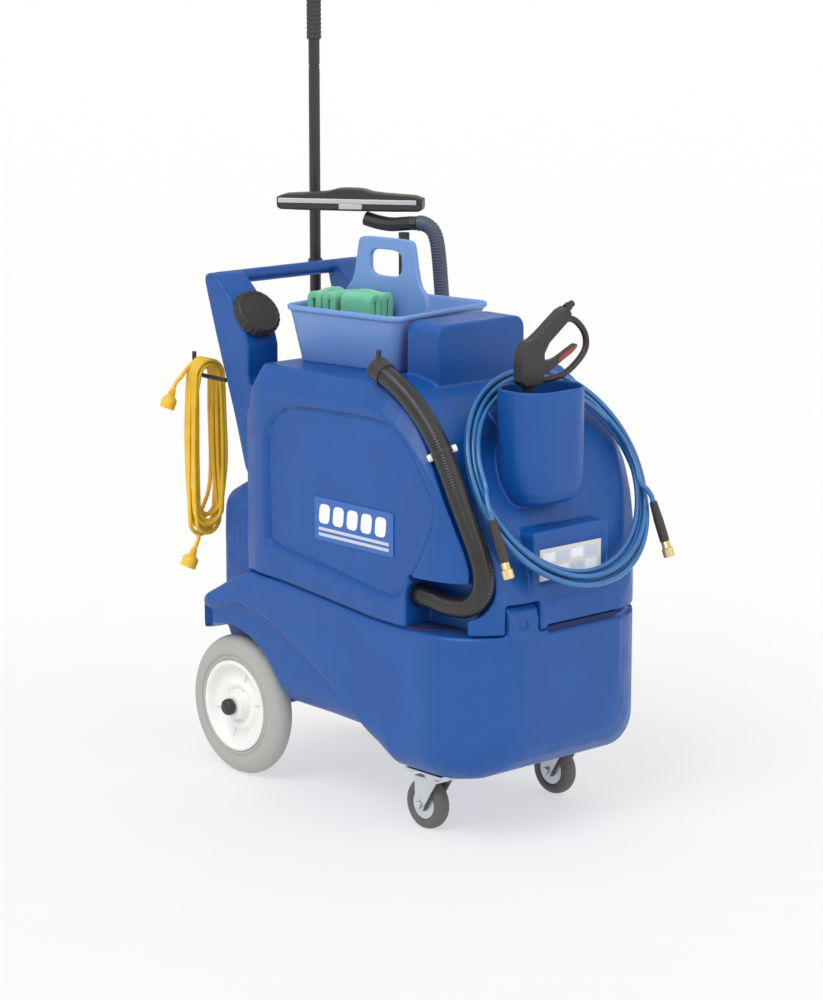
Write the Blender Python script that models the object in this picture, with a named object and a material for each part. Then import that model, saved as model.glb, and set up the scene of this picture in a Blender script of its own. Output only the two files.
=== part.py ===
"""Carpet cleaner cart: a solution tank on two large wheels and two swivel casters, with a
recovery tank, handle frame, drain hose, holster with a trigger gun, hose coil and accessories.

Metres. +X is the cart's front, +Z is up, the ground is z = 0 and the cart is centred on X and Y.
"""
import math

import bmesh
import bpy
from mathutils import Matrix, Vector

GAP = 0.0004            # clearance between touching pieces

# Rear wheels
WHEEL_X, WHEEL_Y, WHEEL_R = -0.285, 0.197, 0.1425
TYRE_HALF_WIDTH = 0.0240
RIM_R = 0.093
AXLE_R, AXLE_BORE_R = 0.0095, 0.0104
AXLE_END_Y = 0.228

# Casters
CASTER_X, CASTER_Y = 0.270, 0.170
CASTER_TRAIL = 0.028
CASTER_R, CASTER_HALF_WIDTH = 0.050, 0.0150
CASTER_PIN_R, CASTER_BORE_R = 0.0040, 0.0047
FLOOR_Z = 0.125         # underside of the solution tank

# Bodies
HALF_WIDTH = 0.250
FRONT_X = 0.4575
CORNER_R = 0.150        # rounding of the front corners, seen from above
DECK_Z = 0.856
TANK_REAR_X = -0.215
ARCH_R = 0.170
ARCH_INNER_Y = 0.158

# Seam between the two tanks: (x, z)
SEAM = [(-0.390, 0.345), (-0.375, 0.356), (-0.345, 0.368), (-0.300, 0.392), (-0.250, 0.420),
        (-0.215, 0.434), (-0.195, 0.439), (-0.100, 0.436), (0.000, 0.427), (0.090, 0.418),
        (0.170, 0.410), (0.240, 0.408), (0.3075, 0.410), (0.350, 0.411), (0.390, 0.412),
        (0.420, 0.412), (0.440, 0.412), (0.450, 0.412), (0.4545, 0.412)]

# Holster and hose coil
CUP_X, CUP_Y, CUP_TOP_Z = 0.3915, -0.0245, 0.860
CUP_HALF_X, CUP_HALF_Y, CUP_CORNER, CUP_WALL = 0.0655, 0.084, 0.060, 0.005
COIL_CENTRE = (0.393, 0.021, 0.683)
COIL_R, COIL_BAND, COIL_THICK = 0.200, 0.021, 0.0105
COIL_LEAN = math.radians(30.0)
HOSE_R = 0.005

# Handle
BAR_X, BAR_Z, BAR_R = -0.375, 0.997, 0.014
POST_INNER_Y, POST_OUTER_Y = 0.120, 0.200

# Fill cap on the sloping face of the right post
CAP_CENTRE = (-0.2831, -0.160, 0.9293)
CAP_AXIS = (0.078, 0.0, 0.057)
CAP_R, CAP_THICK = 0.050, 0.026

# Caddy
CADDY_X, CADDY_Y, CADDY_YAW = -0.051, -0.012, math.radians(8.5)
CADDY_TOP_Z = 0.968
CADDY_HALF = (0.141, 0.141)
CADDY_BASE_HALF = (0.124, 0.124)

# Pole behind the handle
POLE_X, POLE_Y, POLE_R = -0.4425, 0.135, 0.0115
POLE_FOOT_Z, POLE_TOP_Z = 0.4060, 1.660
GRIP_R, GRIP_Z = 0.0150, 1.455

# Yellow extension cord on its hook
CORD_R = 0.0042
HANK_X, HANK_Y = -0.400, -0.195
HANK_TOP_Z, HANK_LOW_Z = 0.838, 0.468
HANK_HALF_WIDTH, HANK_HALF_THICK = 0.048, 0.017

PLUG_LEAD = [(-0.400, -0.2285, 0.800), (-0.400, -0.241, 0.805), (-0.401, -0.254, 0.803),
             (-0.402, -0.265, 0.795), (-0.403, -0.271, 0.782)]
SOCKET_LEAD = [(-0.400, -0.215, 0.4710), (-0.400, -0.219, 0.461), (-0.401, -0.224, 0.450)]

HOSE_END_A = [(0.4075, -0.1800, 0.6930), (0.4170, -0.1870, 0.6800), (0.4280, -0.1930, 0.6640),
              (0.4370, -0.1960, 0.6510), (0.4420, -0.1950, 0.6370)]
HOSE_END_B = [(0.4370, 0.1960, 0.6550), (0.4470, 0.2050, 0.6420), (0.4540, 0.2100, 0.6300),
              (0.4570, 0.2125, 0.6180)]

GUN_X = 0.385

DRAIN_R = 0.0205
DRAIN_STEP = 0.030      # spacing of the points along the drain hose
CLIP_Z = 0.752
DRAIN_ROUTE = [(0.2695, -0.214, 0.470), (0.302, -0.214, 0.469), (0.345, -0.213, 0.463),
               (0.392, -0.208, 0.468), (0.418, -0.202, 0.492), (0.426, -0.201, 0.530),
               (0.417, -0.206, 0.575), (0.400, -0.213, 0.620), (0.381, -0.219, 0.665),
               (0.360, -0.223, 0.712), (0.334, -0.2255, 0.760), (0.300, -0.227, 0.802),
               (0.258, -0.2275, 0.838), (0.214, -0.2265, 0.864), (0.166, -0.2245, 0.884)]

VAC_HOSE_R = 0.0155
VAC_ROUTE = [(-0.1530, 0.1610, 1.1005), (-0.1440, 0.1665, 1.1005), (-0.1280, 0.1740, 1.091),
             (-0.1180, 0.1780, 1.071), (-0.1110, 0.1790, 1.035), (-0.1050, 0.1790, 0.985),
             (-0.0990, 0.1785, 0.935), (-0.0940, 0.1780, 0.8900)]

HEAD_CENTRE = (-0.283, 0.094, 1.142)
HEAD_YAW = math.radians(37.0)
STAND_XY = (-0.180, 0.147)


# ---------------------------------------------------------------- helpers

def clear_scene():
    for item in list(bpy.data.objects):
        bpy.data.objects.remove(item, do_unlink=True)


def material(name, colour, roughness, metallic=0.0):
    made = bpy.data.materials.new(name)
    made.use_nodes = True
    shader = made.node_tree.nodes["Principled BSDF"]
    shader.inputs["Base Color"].default_value = (*colour, 1.0)
    shader.inputs["Roughness"].default_value = roughness
    shader.inputs["Metallic"].default_value = metallic
    return made


def finish(name, mesh_bm, finish_material, sharp=math.radians(35.0)):
    """Turns a bmesh into a named object with smooth shading."""
    bmesh.ops.recalc_face_normals(mesh_bm, faces=mesh_bm.faces)
    mesh = bpy.data.meshes.new(name)
    mesh_bm.to_mesh(mesh)
    mesh_bm.free()
    mesh.shade_smooth()
    mesh.set_sharp_from_angle(angle=sharp)
    made = bpy.data.objects.new(name, mesh)
    bpy.context.collection.objects.link(made)
    if finish_material is not None:
        mesh.materials.append(finish_material)
    return made


def helper(made):
    made.hide_render = True
    made.display_type = "WIRE"
    return made


def boolean(target, tool, operation):
    modifier = target.modifiers.new(operation.lower() + "_" + tool.name, "BOOLEAN")
    modifier.operation = operation
    modifier.object = helper(tool)
    return target


def cut(target, tool):
    return boolean(target, tool, "DIFFERENCE")


def join(target, tool):
    return boolean(target, tool, "UNION")


def loft(name, rings, finish_material=None):
    """Closed solid through rings of equal point count."""
    bm = bmesh.new()
    rows = [[bm.verts.new(point) for point in ring] for ring in rings]
    count = len(rows[0])
    for lower, upper in zip(rows, rows[1:]):
        for i in range(count):
            j = (i + 1) % count
            bm.faces.new((lower[i], lower[j], upper[j], upper[i]))
    bm.faces.new(rows[0])
    bm.faces.new(rows[-1])
    return finish(name, bm, finish_material)


def box(name, low, high, finish_material=None):
    ring = [(low[0], low[1]), (high[0], low[1]), (high[0], high[1]), (low[0], high[1])]
    return loft(name, [[(x, y, z) for x, y in ring] for z in (low[2], high[2])], finish_material)


def prism(name, outline, axis, low, high, finish_material=None):
    """Extrudes a 2-D outline along an axis; the outline holds the two other coordinates in order."""
    def place(point, level):
        values = list(point)
        values.insert("XYZ".index(axis), level)
        return tuple(values)
    return loft(name, [[place(p, level) for p in outline] for level in (low, high)], finish_material)


def frame_matrix(centre, axis):
    """Matrix that carries local +Z onto axis at centre."""
    turn = Vector((0, 0, 1)).rotation_difference(Vector(axis).normalized()).to_matrix().to_4x4()
    return Matrix.Translation(Vector(centre)) @ turn


def turned(name, profile, centre, axis, finish_material=None, sides=32):
    """Solid of revolution about axis; the profile holds (radius, height), closed on the axis or
    as a loop off the axis."""
    place = frame_matrix(centre, axis)
    bm = bmesh.new()
    on_axis = profile[0][0] == 0.0
    rows = []
    for radius, height in profile:
        if radius == 0.0:
            rows.append([bm.verts.new(place @ Vector((0, 0, height)))])
            continue
        rows.append([bm.verts.new(place @ Vector((radius * math.cos(turn), radius * math.sin(turn),
                                                  height)))
                     for turn in (2 * math.pi * i / sides for i in range(sides))])
    pairs = list(zip(rows, rows[1:]))
    if not on_axis:
        pairs.append((rows[-1], rows[0]))
    for lower, upper in pairs:
        for i in range(sides):
            j = (i + 1) % sides
            corners = [lower[i % len(lower)], lower[j % len(lower)],
                       upper[j % len(upper)], upper[i % len(upper)]]
            bm.faces.new(list(dict.fromkeys(corners)))
    return finish(name, bm, finish_material)


def rod(name, start, end, radius, finish_material=None, sides=24):
    start, end = Vector(start), Vector(end)
    length = (end - start).length
    return turned(name, [(0.0, 0.0), (radius, 0.0), (radius, length), (0.0, length)],
                  start, end - start, finish_material, sides)


def spline_points(route, spacing):
    """Points at an even spacing along a Catmull-Rom curve through the route."""
    points = [Vector(p) for p in route]
    padded = [2 * points[0] - points[1]] + points + [2 * points[-1] - points[-2]]
    fine = []
    for a, b, c, d in zip(padded, padded[1:], padded[2:], padded[3:]):
        for step in range(24):
            t = step / 24
            fine.append(0.5 * (2 * b + (c - a) * t + (2 * a - 5 * b + 4 * c - d) * t * t
                               + (3 * b - a - 3 * c + d) * t ** 3))
    fine.append(points[-1])
    lengths = [0.0]
    for a, b in zip(fine, fine[1:]):
        lengths.append(lengths[-1] + (b - a).length)
    count = max(2, round(lengths[-1] / spacing))
    result, index = [], 0
    for step in range(count + 1):
        wanted = lengths[-1] * step / count
        while index < len(fine) - 2 and lengths[index + 1] < wanted:
            index += 1
        span = lengths[index + 1] - lengths[index]
        result.append(fine[index].lerp(fine[index + 1], (wanted - lengths[index]) / span))
    return result


def end_of(route, spacing):
    """Last point of the smooth curve through the route, and the way it points there."""
    points = spline_points(route, spacing)
    return points[-1], (points[-1] - points[-2]).normalized()


def tube(name, route, radius, finish_material, spacing=None, resolution=3):
    """Round tube with filled ends along a smooth curve through the route."""
    points = spline_points(route, spacing or radius * 5)
    curve = bpy.data.curves.new(name, "CURVE")
    curve.dimensions = "3D"
    curve.bevel_depth = radius
    curve.bevel_resolution = resolution
    curve.use_fill_caps = True
    spline = curve.splines.new("POLY")
    spline.points.add(len(points) - 1)
    for slot, point in zip(spline.points, points):
        slot.co = (*point, 1.0)
    made = bpy.data.objects.new(name, curve)
    bpy.context.collection.objects.link(made)
    curve.materials.append(finish_material)
    return made


def tube_mesh(name, route, radius, finish_material=None, sides=12, spacing=None, plane_x=None):
    """The same kind of tube as a mesh, for Boolean use; a route of (y, z) lies at plane_x."""
    if plane_x is not None:
        route = [(plane_x, y, z) for y, z in route]
    points = spline_points(route, spacing or radius * 3)
    rings = []
    side = None
    for i, point in enumerate(points):
        along = (points[min(i + 1, len(points) - 1)] - points[max(i - 1, 0)]).normalized()
        if side is None:
            side = along.orthogonal().normalized()
        side = (side - along * side.dot(along)).normalized()
        other = along.cross(side)
        rings.append([point + radius * (math.cos(turn) * side + math.sin(turn) * other)
                      for turn in (2 * math.pi * k / sides for k in range(sides))])
    return loft(name, rings, finish_material)


def arc(centre, radius, start, end, steps):
    """Points on a circle, angles in degrees."""
    return [(centre[0] + radius * math.cos(math.radians(start + (end - start) * i / steps)),
             centre[1] + radius * math.sin(math.radians(start + (end - start) * i / steps)))
            for i in range(steps + 1)]


def rounded_rectangle(half_width, low, high, low_r, high_r, steps=4):
    """Outline in (y, z), with the bottom corners of low_r and the top ones of high_r."""
    low_r = min(low_r, half_width * 0.98, (high - low) * 0.49)
    high_r = min(high_r, half_width * 0.98, (high - low) * 0.49)
    return (arc((half_width - low_r, low + low_r), low_r, -90, 0, steps)
            + arc((half_width - high_r, high - high_r), high_r, 0, 90, steps)
            + arc((-half_width + high_r, high - high_r), high_r, 90, 180, steps)
            + arc((-half_width + low_r, low + low_r), low_r, 180, 270, steps))


def rounded_box_outline(half_x, half_y, radius, steps=4):
    return (arc((half_x - radius, -half_y + radius), radius, -90, 0, steps)
            + arc((half_x - radius, half_y - radius), radius, 0, 90, steps)
            + arc((-half_x + radius, half_y - radius), radius, 90, 180, steps)
            + arc((-half_x + radius, -half_y + radius), radius, 180, 270, steps))


def level_at(table, x):
    """Linear reading of a table of (x, value)."""
    for (x0, v0), (x1, v1) in zip(table, table[1:]):
        if x <= x1:
            return v0 + (v1 - v0) * max(0.0, x - x0) / (x1 - x0)
    return table[-1][1]


def plan_half_width(x, rear_x, rear_half_width):
    """Half width of the bodies at x: rounded front corners, and a slight taper at the rear."""
    front_start = FRONT_X - CORNER_R
    if x > front_start:
        reach = min(x - front_start, CORNER_R * 0.9999)
        return HALF_WIDTH - CORNER_R + math.sqrt(CORNER_R ** 2 - reach ** 2)
    blend = min(1.0, (x - rear_x) / 0.060)
    return rear_half_width + (HALF_WIDTH - rear_half_width) * math.sin(blend * math.pi / 2)


def cup_solid(name, levels):
    """Rounded-box solid of the holster from (z, how far its sides stand in) rows."""
    rings = []
    for z, inset in levels:
        outline = rounded_box_outline(CUP_HALF_X - inset, CUP_HALF_Y - inset,
                                      max(0.015, CUP_CORNER - inset))
        rings.append([(CUP_X + x, CUP_Y + y, z) for x, y in outline])
    return loft(name, rings)


def body_rings(stations, low_r, high_r):
    """Rings across X from (x, low z, high z, half width) rows."""
    return [[(x, y, z) for y, z in rounded_rectangle(width, low, high, low_r, high_r)]
            for x, low, high, width in stations]


# ---------------------------------------------------------------- materials

BLUE = material("blue_plastic", (0.030, 0.110, 0.400), 0.42)
LIGHT_BLUE = material("light_blue_plastic", (0.130, 0.250, 0.600), 0.45)
BLACK = material("black_plastic", (0.020, 0.020, 0.020), 0.45)
DARK_RUBBER = material("dark_rubber", (0.040, 0.037, 0.032), 0.55)
GREY_RUBBER = material("grey_rubber", (0.420, 0.420, 0.400), 0.75)
WHITE = material("white_plastic", (0.720, 0.720, 0.700), 0.50)
STEEL = material("zinc_steel", (0.620, 0.630, 0.640), 0.35, 1.0)
BRASS = material("brass", (0.780, 0.620, 0.330), 0.30, 1.0)
YELLOW = material("yellow_cord", (0.830, 0.600, 0.070), 0.50)
HOSE_BLUE = material("blue_hose", (0.050, 0.250, 0.550), 0.25)
GREEN = material("green_cloth", (0.090, 0.420, 0.250), 0.90)
RED = material("red_plastic", (0.500, 0.050, 0.030), 0.40)
SILVER = material("motor_metal", (0.500, 0.500, 0.520), 0.40, 1.0)


# ---------------------------------------------------------------- chassis

def base_tank():
    floor = [(-0.390, 0.305), (-0.375, 0.268), (-0.345, 0.225), (-0.300, 0.196), (-0.250, 0.186),
             (-0.150, 0.178), (0.000, 0.176), (0.090, 0.172), (0.170, 0.150), (0.215, FLOOR_Z),
             (0.350, FLOOR_Z), (0.390, 0.131), (0.420, 0.146), (0.440, 0.165), (0.450, 0.188),
             (0.4545, 0.215)]
    stations = [(x, level_at(floor, x), top, plan_half_width(x, SEAM[0][0], 0.195))
                for x, top in SEAM]
    stations.insert(12, (0.215, FLOOR_Z, level_at(SEAM, 0.215), HALF_WIDTH))
    stations.sort()
    stations[-1] = (FRONT_X, 0.235, 0.412, stations[-1][3])
    body = loft("base_tank", body_rings(stations, 0.060, 0.012), BLUE)
    for side in (-1, 1):
        arch = rod(f"arch_cutter_{side}", (WHEEL_X, side * ARCH_INNER_Y, WHEEL_R),
                   (WHEEL_X, side * 0.300, WHEEL_R), ARCH_R, sides=48)
        cut(body, arch)
        lower = box(f"arch_lower_{side}",
                    (WHEEL_X - ARCH_R, min(side * ARCH_INNER_Y, side * 0.300), 0.02),
                    (WHEEL_X + ARCH_R, max(side * ARCH_INNER_Y, side * 0.300), WHEEL_R))
        cut(body, lower)
    join(body, box("front_lug", (0.400, -0.158, 0.395), (0.4500, -0.082, 0.4670)))
    join(body, box("axle_block", (WHEEL_X - 0.022, -0.150, 0.128), (WHEEL_X + 0.022, 0.150, 0.200)))
    cut(body, rod("axle_bore", (WHEEL_X, -0.300, WHEEL_R), (WHEEL_X, 0.300, WHEEL_R), AXLE_BORE_R,
                  sides=16))
    cavity = box("water_space", (-0.120, -0.195, 0.205), (0.370, 0.195, 0.460))
    return cut(body, cavity)


def rear_wheels():
    hub_profile = [(AXLE_BORE_R, -0.030), (0.026, -0.030), (0.028, -0.010), (0.070, -0.010),
                   (0.076, -0.024), (RIM_R - 0.0004, -0.024), (RIM_R - 0.0004, 0.0245),
                   (0.086, 0.0255), (0.078, 0.021), (0.074, 0.008), (0.056, 0.004),
                   (0.052, 0.012), (0.040, 0.014), (0.034, 0.006), (0.030, 0.010),
                   (0.026, 0.028), (AXLE_BORE_R, 0.028)]
    half = TYRE_HALF_WIDTH
    tyre_profile = [(RIM_R, -0.021), (0.108, -half), (0.126, -0.0232), (0.136, -0.0175),
                    (0.1410, -0.010), (WHEEL_R, 0.0), (0.1410, 0.010), (0.136, 0.0175),
                    (0.126, 0.0232), (0.108, half), (RIM_R, 0.021)]
    for name, side in (("right", -1), ("left", 1)):
        centre, axis = (WHEEL_X, side * WHEEL_Y, WHEEL_R), (0, side, 0)
        turned(f"wheel_tyre_{name}", tyre_profile, centre, axis, GREY_RUBBER, sides=44)
        turned(f"wheel_hub_{name}", hub_profile, centre, axis, WHITE, sides=32)
        cap = [(0.0, 0.0), (0.017, 0.0), (0.017, 0.010), (0.013, 0.016), (0.0, 0.016)]
        turned(f"wheel_cap_{name}", cap, (WHEEL_X, side * (AXLE_END_Y + 0.0016), WHEEL_R), axis,
               BLACK, sides=12)


def axle():
    rod("rear_axle", (WHEEL_X, -AXLE_END_Y, WHEEL_R), (WHEEL_X, AXLE_END_Y, WHEEL_R), AXLE_R,
        STEEL, sides=16)


def casters():
    for name, side in (("right", -1), ("left", 1)):
        y = side * CASTER_Y
        wheel_x = CASTER_X - CASTER_TRAIL
        box(f"caster_plate_{name}", (CASTER_X - 0.050, y - 0.040, 0.1205),
            (CASTER_X + 0.050, y + 0.040, FLOOR_Z - GAP), STEEL)
        fork = rod(f"caster_fork_{name}", (CASTER_X, y, 0.1040), (CASTER_X, y, 0.1205 - GAP),
                   0.026, STEEL, sides=24)
        crown = prism(f"fork_crown_{name}", [(wheel_x - 0.014, y - 0.024), (CASTER_X + 0.022, y - 0.024),
                                             (CASTER_X + 0.022, y + 0.024), (wheel_x - 0.014, y + 0.024)],
                      "Z", 0.1028, 0.1070)
        join(fork, crown)
        leg = [(wheel_x - 0.0135, 0.1060), (wheel_x - 0.012, 0.050),
               *arc((wheel_x, 0.050), 0.012, 180, 360, 6), (CASTER_X + 0.0215, 0.1060)]
        for inner in (-1, 1):
            low = y + inner * 0.0200 if inner > 0 else y - 0.0232
            join(fork, prism(f"fork_leg_{name}_{inner}", leg, "Y", low, low + 0.0032))
        cut(fork, rod(f"fork_bore_{name}", (wheel_x, y - 0.040, CASTER_R),
                      (wheel_x, y + 0.040, CASTER_R), CASTER_BORE_R, sides=16))
        half = CASTER_HALF_WIDTH
        turned(f"caster_wheel_{name}",
               [(CASTER_BORE_R, -half - 0.002), (0.012, -half - 0.002), (0.014, -half + 0.004),
                (0.030, -half + 0.004), (0.034, -half), (0.045, -half), (0.049, -half + 0.006),
                (CASTER_R, 0.0), (0.049, half - 0.006), (0.045, half), (0.034, half),
                (0.030, half - 0.004), (0.014, half - 0.004), (0.012, half + 0.002),
                (CASTER_BORE_R, half + 0.002)],
               (wheel_x, y, CASTER_R), (0, 1, 0), GREY_RUBBER, sides=32)
        turned(f"caster_axle_{name}",
               [(0.0, -0.030), (0.0075, -0.030), (0.0075, -0.0236), (CASTER_PIN_R, -0.0236),
                (CASTER_PIN_R, 0.030), (0.0, 0.030)],
               (wheel_x, y, CASTER_R), (0, 1, 0), STEEL, sides=12)


# ---------------------------------------------------------------- recovery tank and handle

def recovery_tank():
    crest = [(TANK_REAR_X, 0.792), (-0.203, 0.806), (-0.190, 0.846), (-0.176, DECK_Z),
             (0.150, DECK_Z), (0.195, 0.848), (0.232, 0.828), (0.275, 0.798), (0.315, 0.762),
             (0.350, 0.716), (0.380, 0.662), (0.405, 0.606), (0.425, 0.556), (0.440, 0.510),
             (0.4500, 0.478), (0.4545, 0.462)]
    places = sorted({x for x, _ in crest} | {x for x, _ in SEAM if x >= TANK_REAR_X})
    stations = [(x, level_at(SEAM, x) + GAP, level_at(crest, x),
                 plan_half_width(x, TANK_REAR_X, 0.236)) for x in places]
    body = loft("recovery_tank", body_rings(stations, 0.010, 0.045), BLUE)
    join(body, prism("tower", rounded_rectangle(0.113, 0.700, 0.960, 0.005, 0.030), "X",
                     0.118, 0.205))
    join(body, prism("saddle", rounded_rectangle(0.050, 0.700, 0.826, 0.005, 0.035), "X",
                     0.200, 0.380))
    join(body, prism("front_bench", rounded_rectangle(0.098, 0.440, 0.600, 0.005, 0.025), "X",
                     0.360, 0.4520))
    join(body, cup_solid("cup_outside", [(0.640, 0.034), (0.646, 0.018), (0.668, 0.005),
                                         (0.710, 0.0), (CUP_TOP_Z, 0.0)]))
    cut(body, cup_solid("cup_inside", [(0.668, 0.022 + CUP_WALL), (0.682, 0.008 + CUP_WALL),
                                       (0.712, CUP_WALL), (0.902, CUP_WALL)]))
    cut(body, box("dirty_water_space", (-0.1850, -0.2050, 0.4650), (0.2200, 0.2050, 0.8200)))
    cut(body, box("lid_opening", (-0.1302, -0.1203, 0.8000), (0.1001, 0.1202, 0.9003)))
    recess = [(-0.142, 0.515), (-0.125, 0.505), (0.020, 0.486), (0.180, 0.462), (0.238, 0.460),
              (0.300, 0.540), (0.345, 0.640), (0.318, 0.690), (0.270, 0.755), (0.215, 0.798),
              (-0.142, 0.786)]
    for side in (-1, 1):
        outer, inner = side * 0.270, side * 0.2425
        cut(body, prism(f"panel_recess_{side}", recess, "Y", min(outer, inner), max(outer, inner)))
    cut(body, box("lug_notch", (0.3990, -0.159, 0.390), (0.4700, -0.081, 0.4682)))
    cut(body, tube_mesh("drain_channel", [(0.180, -0.226, 0.885), *DRAIN_ROUTE[::-1][1:-1],
                                          (0.262, -0.214, 0.470)], DRAIN_R + 0.006, spacing=0.022))
    cut(body, box("drain_niche", (0.2645, -0.270, 0.400), (0.400, -0.185, 0.512)))
    label = [(-0.085, 0.500), (0.085, 0.500), (0.085, 0.570), (-0.085, 0.570)]
    return cut(body, prism("label_recess", label, "X", 0.4480, 0.4700))


def tank_details():
    lid = box("tank_lid", (-0.129, -0.119, 0.838), (0.099, 0.119, DECK_Z - 0.001), BLUE)
    join(lid, box("lid_skirt", (-0.122, -0.112, 0.826), (0.092, 0.112, 0.840)))
    turned("float_shutoff", [(0.0, 0.0), (0.022, 0.0), (0.028, 0.006), (0.028, 0.060),
                             (0.012, 0.066), (0.012, 0.110), (0.0, 0.110)],
           (0.050, 0.0, 0.826 - GAP - 0.110), (0, 0, 1), WHITE, sides=16)
    box("side_plate", (0.000, -0.2447, 0.538), (0.226, -0.2425 - GAP, 0.622), WHITE)
    box("front_label", (0.4480 + GAP, -0.080, 0.505), (0.4498, 0.080, 0.565), WHITE)


def motor_bay():
    seam_here = [(x, z) for x, z in SEAM if -0.375 <= x <= TANK_REAR_X]
    crest = {-0.375: 0.500, -0.345: 0.575, -0.300: 0.598, -0.250: 0.602, TANK_REAR_X: 0.602}
    width = {-0.375: 0.165, -0.345: 0.187, -0.300: 0.190, -0.250: 0.190, TANK_REAR_X: 0.190}
    outer = [(min(x, TANK_REAR_X - GAP), z + GAP, crest[x], width[x]) for x, z in seam_here]
    inner = [(x + (0.008 if x < -0.37 else 0.0) + (0.010 if x == TANK_REAR_X else 0.0),
              z + 0.008, crest[x] - 0.008, width[x] - 0.008) for x, z in seam_here]
    cover = loft("motor_cover", body_rings(outer, 0.010, 0.035), BLUE)
    cut(cover, loft("motor_space", body_rings(inner, 0.004, 0.028)))
    turned("vacuum_motor", [(0.0, 0.0), (0.062, 0.0), (0.062, 0.045), (0.045, 0.052),
                            (0.045, 0.110), (0.020, 0.118), (0.0, 0.118)],
           (-0.278, 0.085, 0.4460), (0, 0, 1), SILVER, sides=24)
    box("solution_pump", (-0.320, -0.130, 0.4460), (-0.235, -0.040, 0.520), BLACK)


def handle_frame():
    profile = [(-0.2158 - GAP, 0.612), (-0.2158 - GAP, 0.785), (-0.255, 0.800), (-0.255, 0.890),
               (-0.312, 0.968), (-0.345, 0.996), (-0.362, 1.008), (-0.378, 1.011), (-0.389, 1.004),
               (-0.389, 0.990), (-0.350, 0.872), (-0.298, 0.730), (-0.262, 0.612)]
    frame = prism("handle_frame", profile, "Y", -POST_OUTER_Y, -POST_INNER_Y, BLUE)
    join(frame, rod("handle_bar", (BAR_X, -0.180, BAR_Z), (BAR_X, 0.180, BAR_Z), BAR_R, sides=16))
    join(frame, prism("left_post", profile, "Y", POST_INNER_Y, POST_OUTER_Y))
    return frame


def fill_cap():
    turned("fill_cap", [(0.0, 0.0), (0.046, 0.0), (CAP_R, 0.004), (CAP_R, 0.020),
                        (0.044, CAP_THICK), (0.0, CAP_THICK)],
           Vector(CAP_CENTRE), CAP_AXIS, BLACK, sides=28)


def control_panel():
    outline = [(-0.2158 - GAP, 0.690), (-0.2158 - GAP, 0.800), (-0.232, 0.800), (-0.292, 0.750),
               (-0.292, 0.690)]
    panel = prism("control_panel", outline, "Y", -0.110, 0.110, BLACK)
    slope = Vector((0.060, 0.0, 0.050)).normalized()
    normal = Vector((-0.050, 0.0, 0.060)).normalized()
    middle = Vector((-0.262, 0.0, 0.775))
    turn = Matrix((slope, Vector((0, 1, 0)), normal)).transposed().to_4x4()
    for name, y in (("pump", -0.045), ("vacuum", 0.045)):
        place = Matrix.Translation(middle + Vector((0, y, 0))) @ turn
        pocket = box(f"pocket_{name}", (-0.0130, -0.0085, -0.0090), (0.0130, 0.0085, 0.0200))
        pocket.data.transform(place)
        rocker_outline = [(-0.0120, -0.0040), (0.0120, -0.0040), (0.0120, 0.0035),
                          (0.0, 0.0020), (-0.0120, 0.0035)]
        rocker = prism(f"{name}_switch", rocker_outline, "Y", -0.0078, 0.0078, RED)
        rocker.data.transform(place)
        cut(panel, pocket)


# ---------------------------------------------------------------- hoses

def drain_hose():
    tube("drain_hose", DRAIN_ROUTE, DRAIN_R, DARK_RUBBER, spacing=DRAIN_STEP, resolution=3)
    turned("drain_outlet", [(0.0, 0.0), (0.0225, 0.0), (0.0225, 0.0030), (0.0, 0.0030)],
           (0.2648, DRAIN_ROUTE[0][1], DRAIN_ROUTE[0][2]), (1, 0, 0), WHITE, sides=20)
    end, along = end_of(DRAIN_ROUTE, DRAIN_STEP)
    plug = turned("drain_plug", [(0.0, GAP), (0.0235, GAP), (0.0235, 0.010), (0.0, 0.010)],
                  end, along, BLACK, sides=20)
    join(plug, rod("plug_tab", end + along * 0.0055, end + along * 0.0055 + Vector((0.003, 0, 0.036)),
                   0.0042, sides=8))
    along_hose = spline_points(DRAIN_ROUTE, 0.004)
    near = min(range(len(along_hose)), key=lambda i: abs(along_hose[i].z - CLIP_Z))
    turned("hose_clip", [(DRAIN_R + 0.0020, -0.006), (DRAIN_R + 0.0044, -0.006),
                         (DRAIN_R + 0.0044, 0.006), (DRAIN_R + 0.0020, 0.006)],
           along_hose[near], along_hose[near + 2] - along_hose[near - 2], WHITE, sides=24)


def hose_end(name, route):
    """A free end of the pressure hose: the tube, and its sleeve and coupler as one fitting."""
    tube(f"pressure_hose_{name}", route, HOSE_R, HOSE_BLUE, spacing=0.012, resolution=2)
    end, along = end_of(route, 0.012)
    turned(f"hose_fitting_{name}", [(0.0, GAP), (0.0075, GAP), (0.0095, 0.004), (0.0095, 0.080),
                                    (0.0085, 0.0805), (0.0085, 0.092), (0.0110, 0.094),
                                    (0.0110, 0.112), (0.0, 0.112)],
           end, along, BRASS, sides=12)


def pressure_hose():
    normal = Vector((math.cos(COIL_LEAN), 0.0, math.sin(COIL_LEAN)))
    low, high = COIL_R - COIL_BAND, COIL_R + COIL_BAND
    turned("pressure_hose_coil", [(low, -0.006), (low + 0.006, -COIL_THICK),
                                  (high - 0.006, -COIL_THICK), (high, -0.006), (high, 0.006),
                                  (high - 0.006, COIL_THICK), (low + 0.006, COIL_THICK),
                                  (low, 0.006)],
           COIL_CENTRE, normal, HOSE_BLUE, sides=40)
    hose_end("a", HOSE_END_A)
    hose_end("b", HOSE_END_B)


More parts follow.
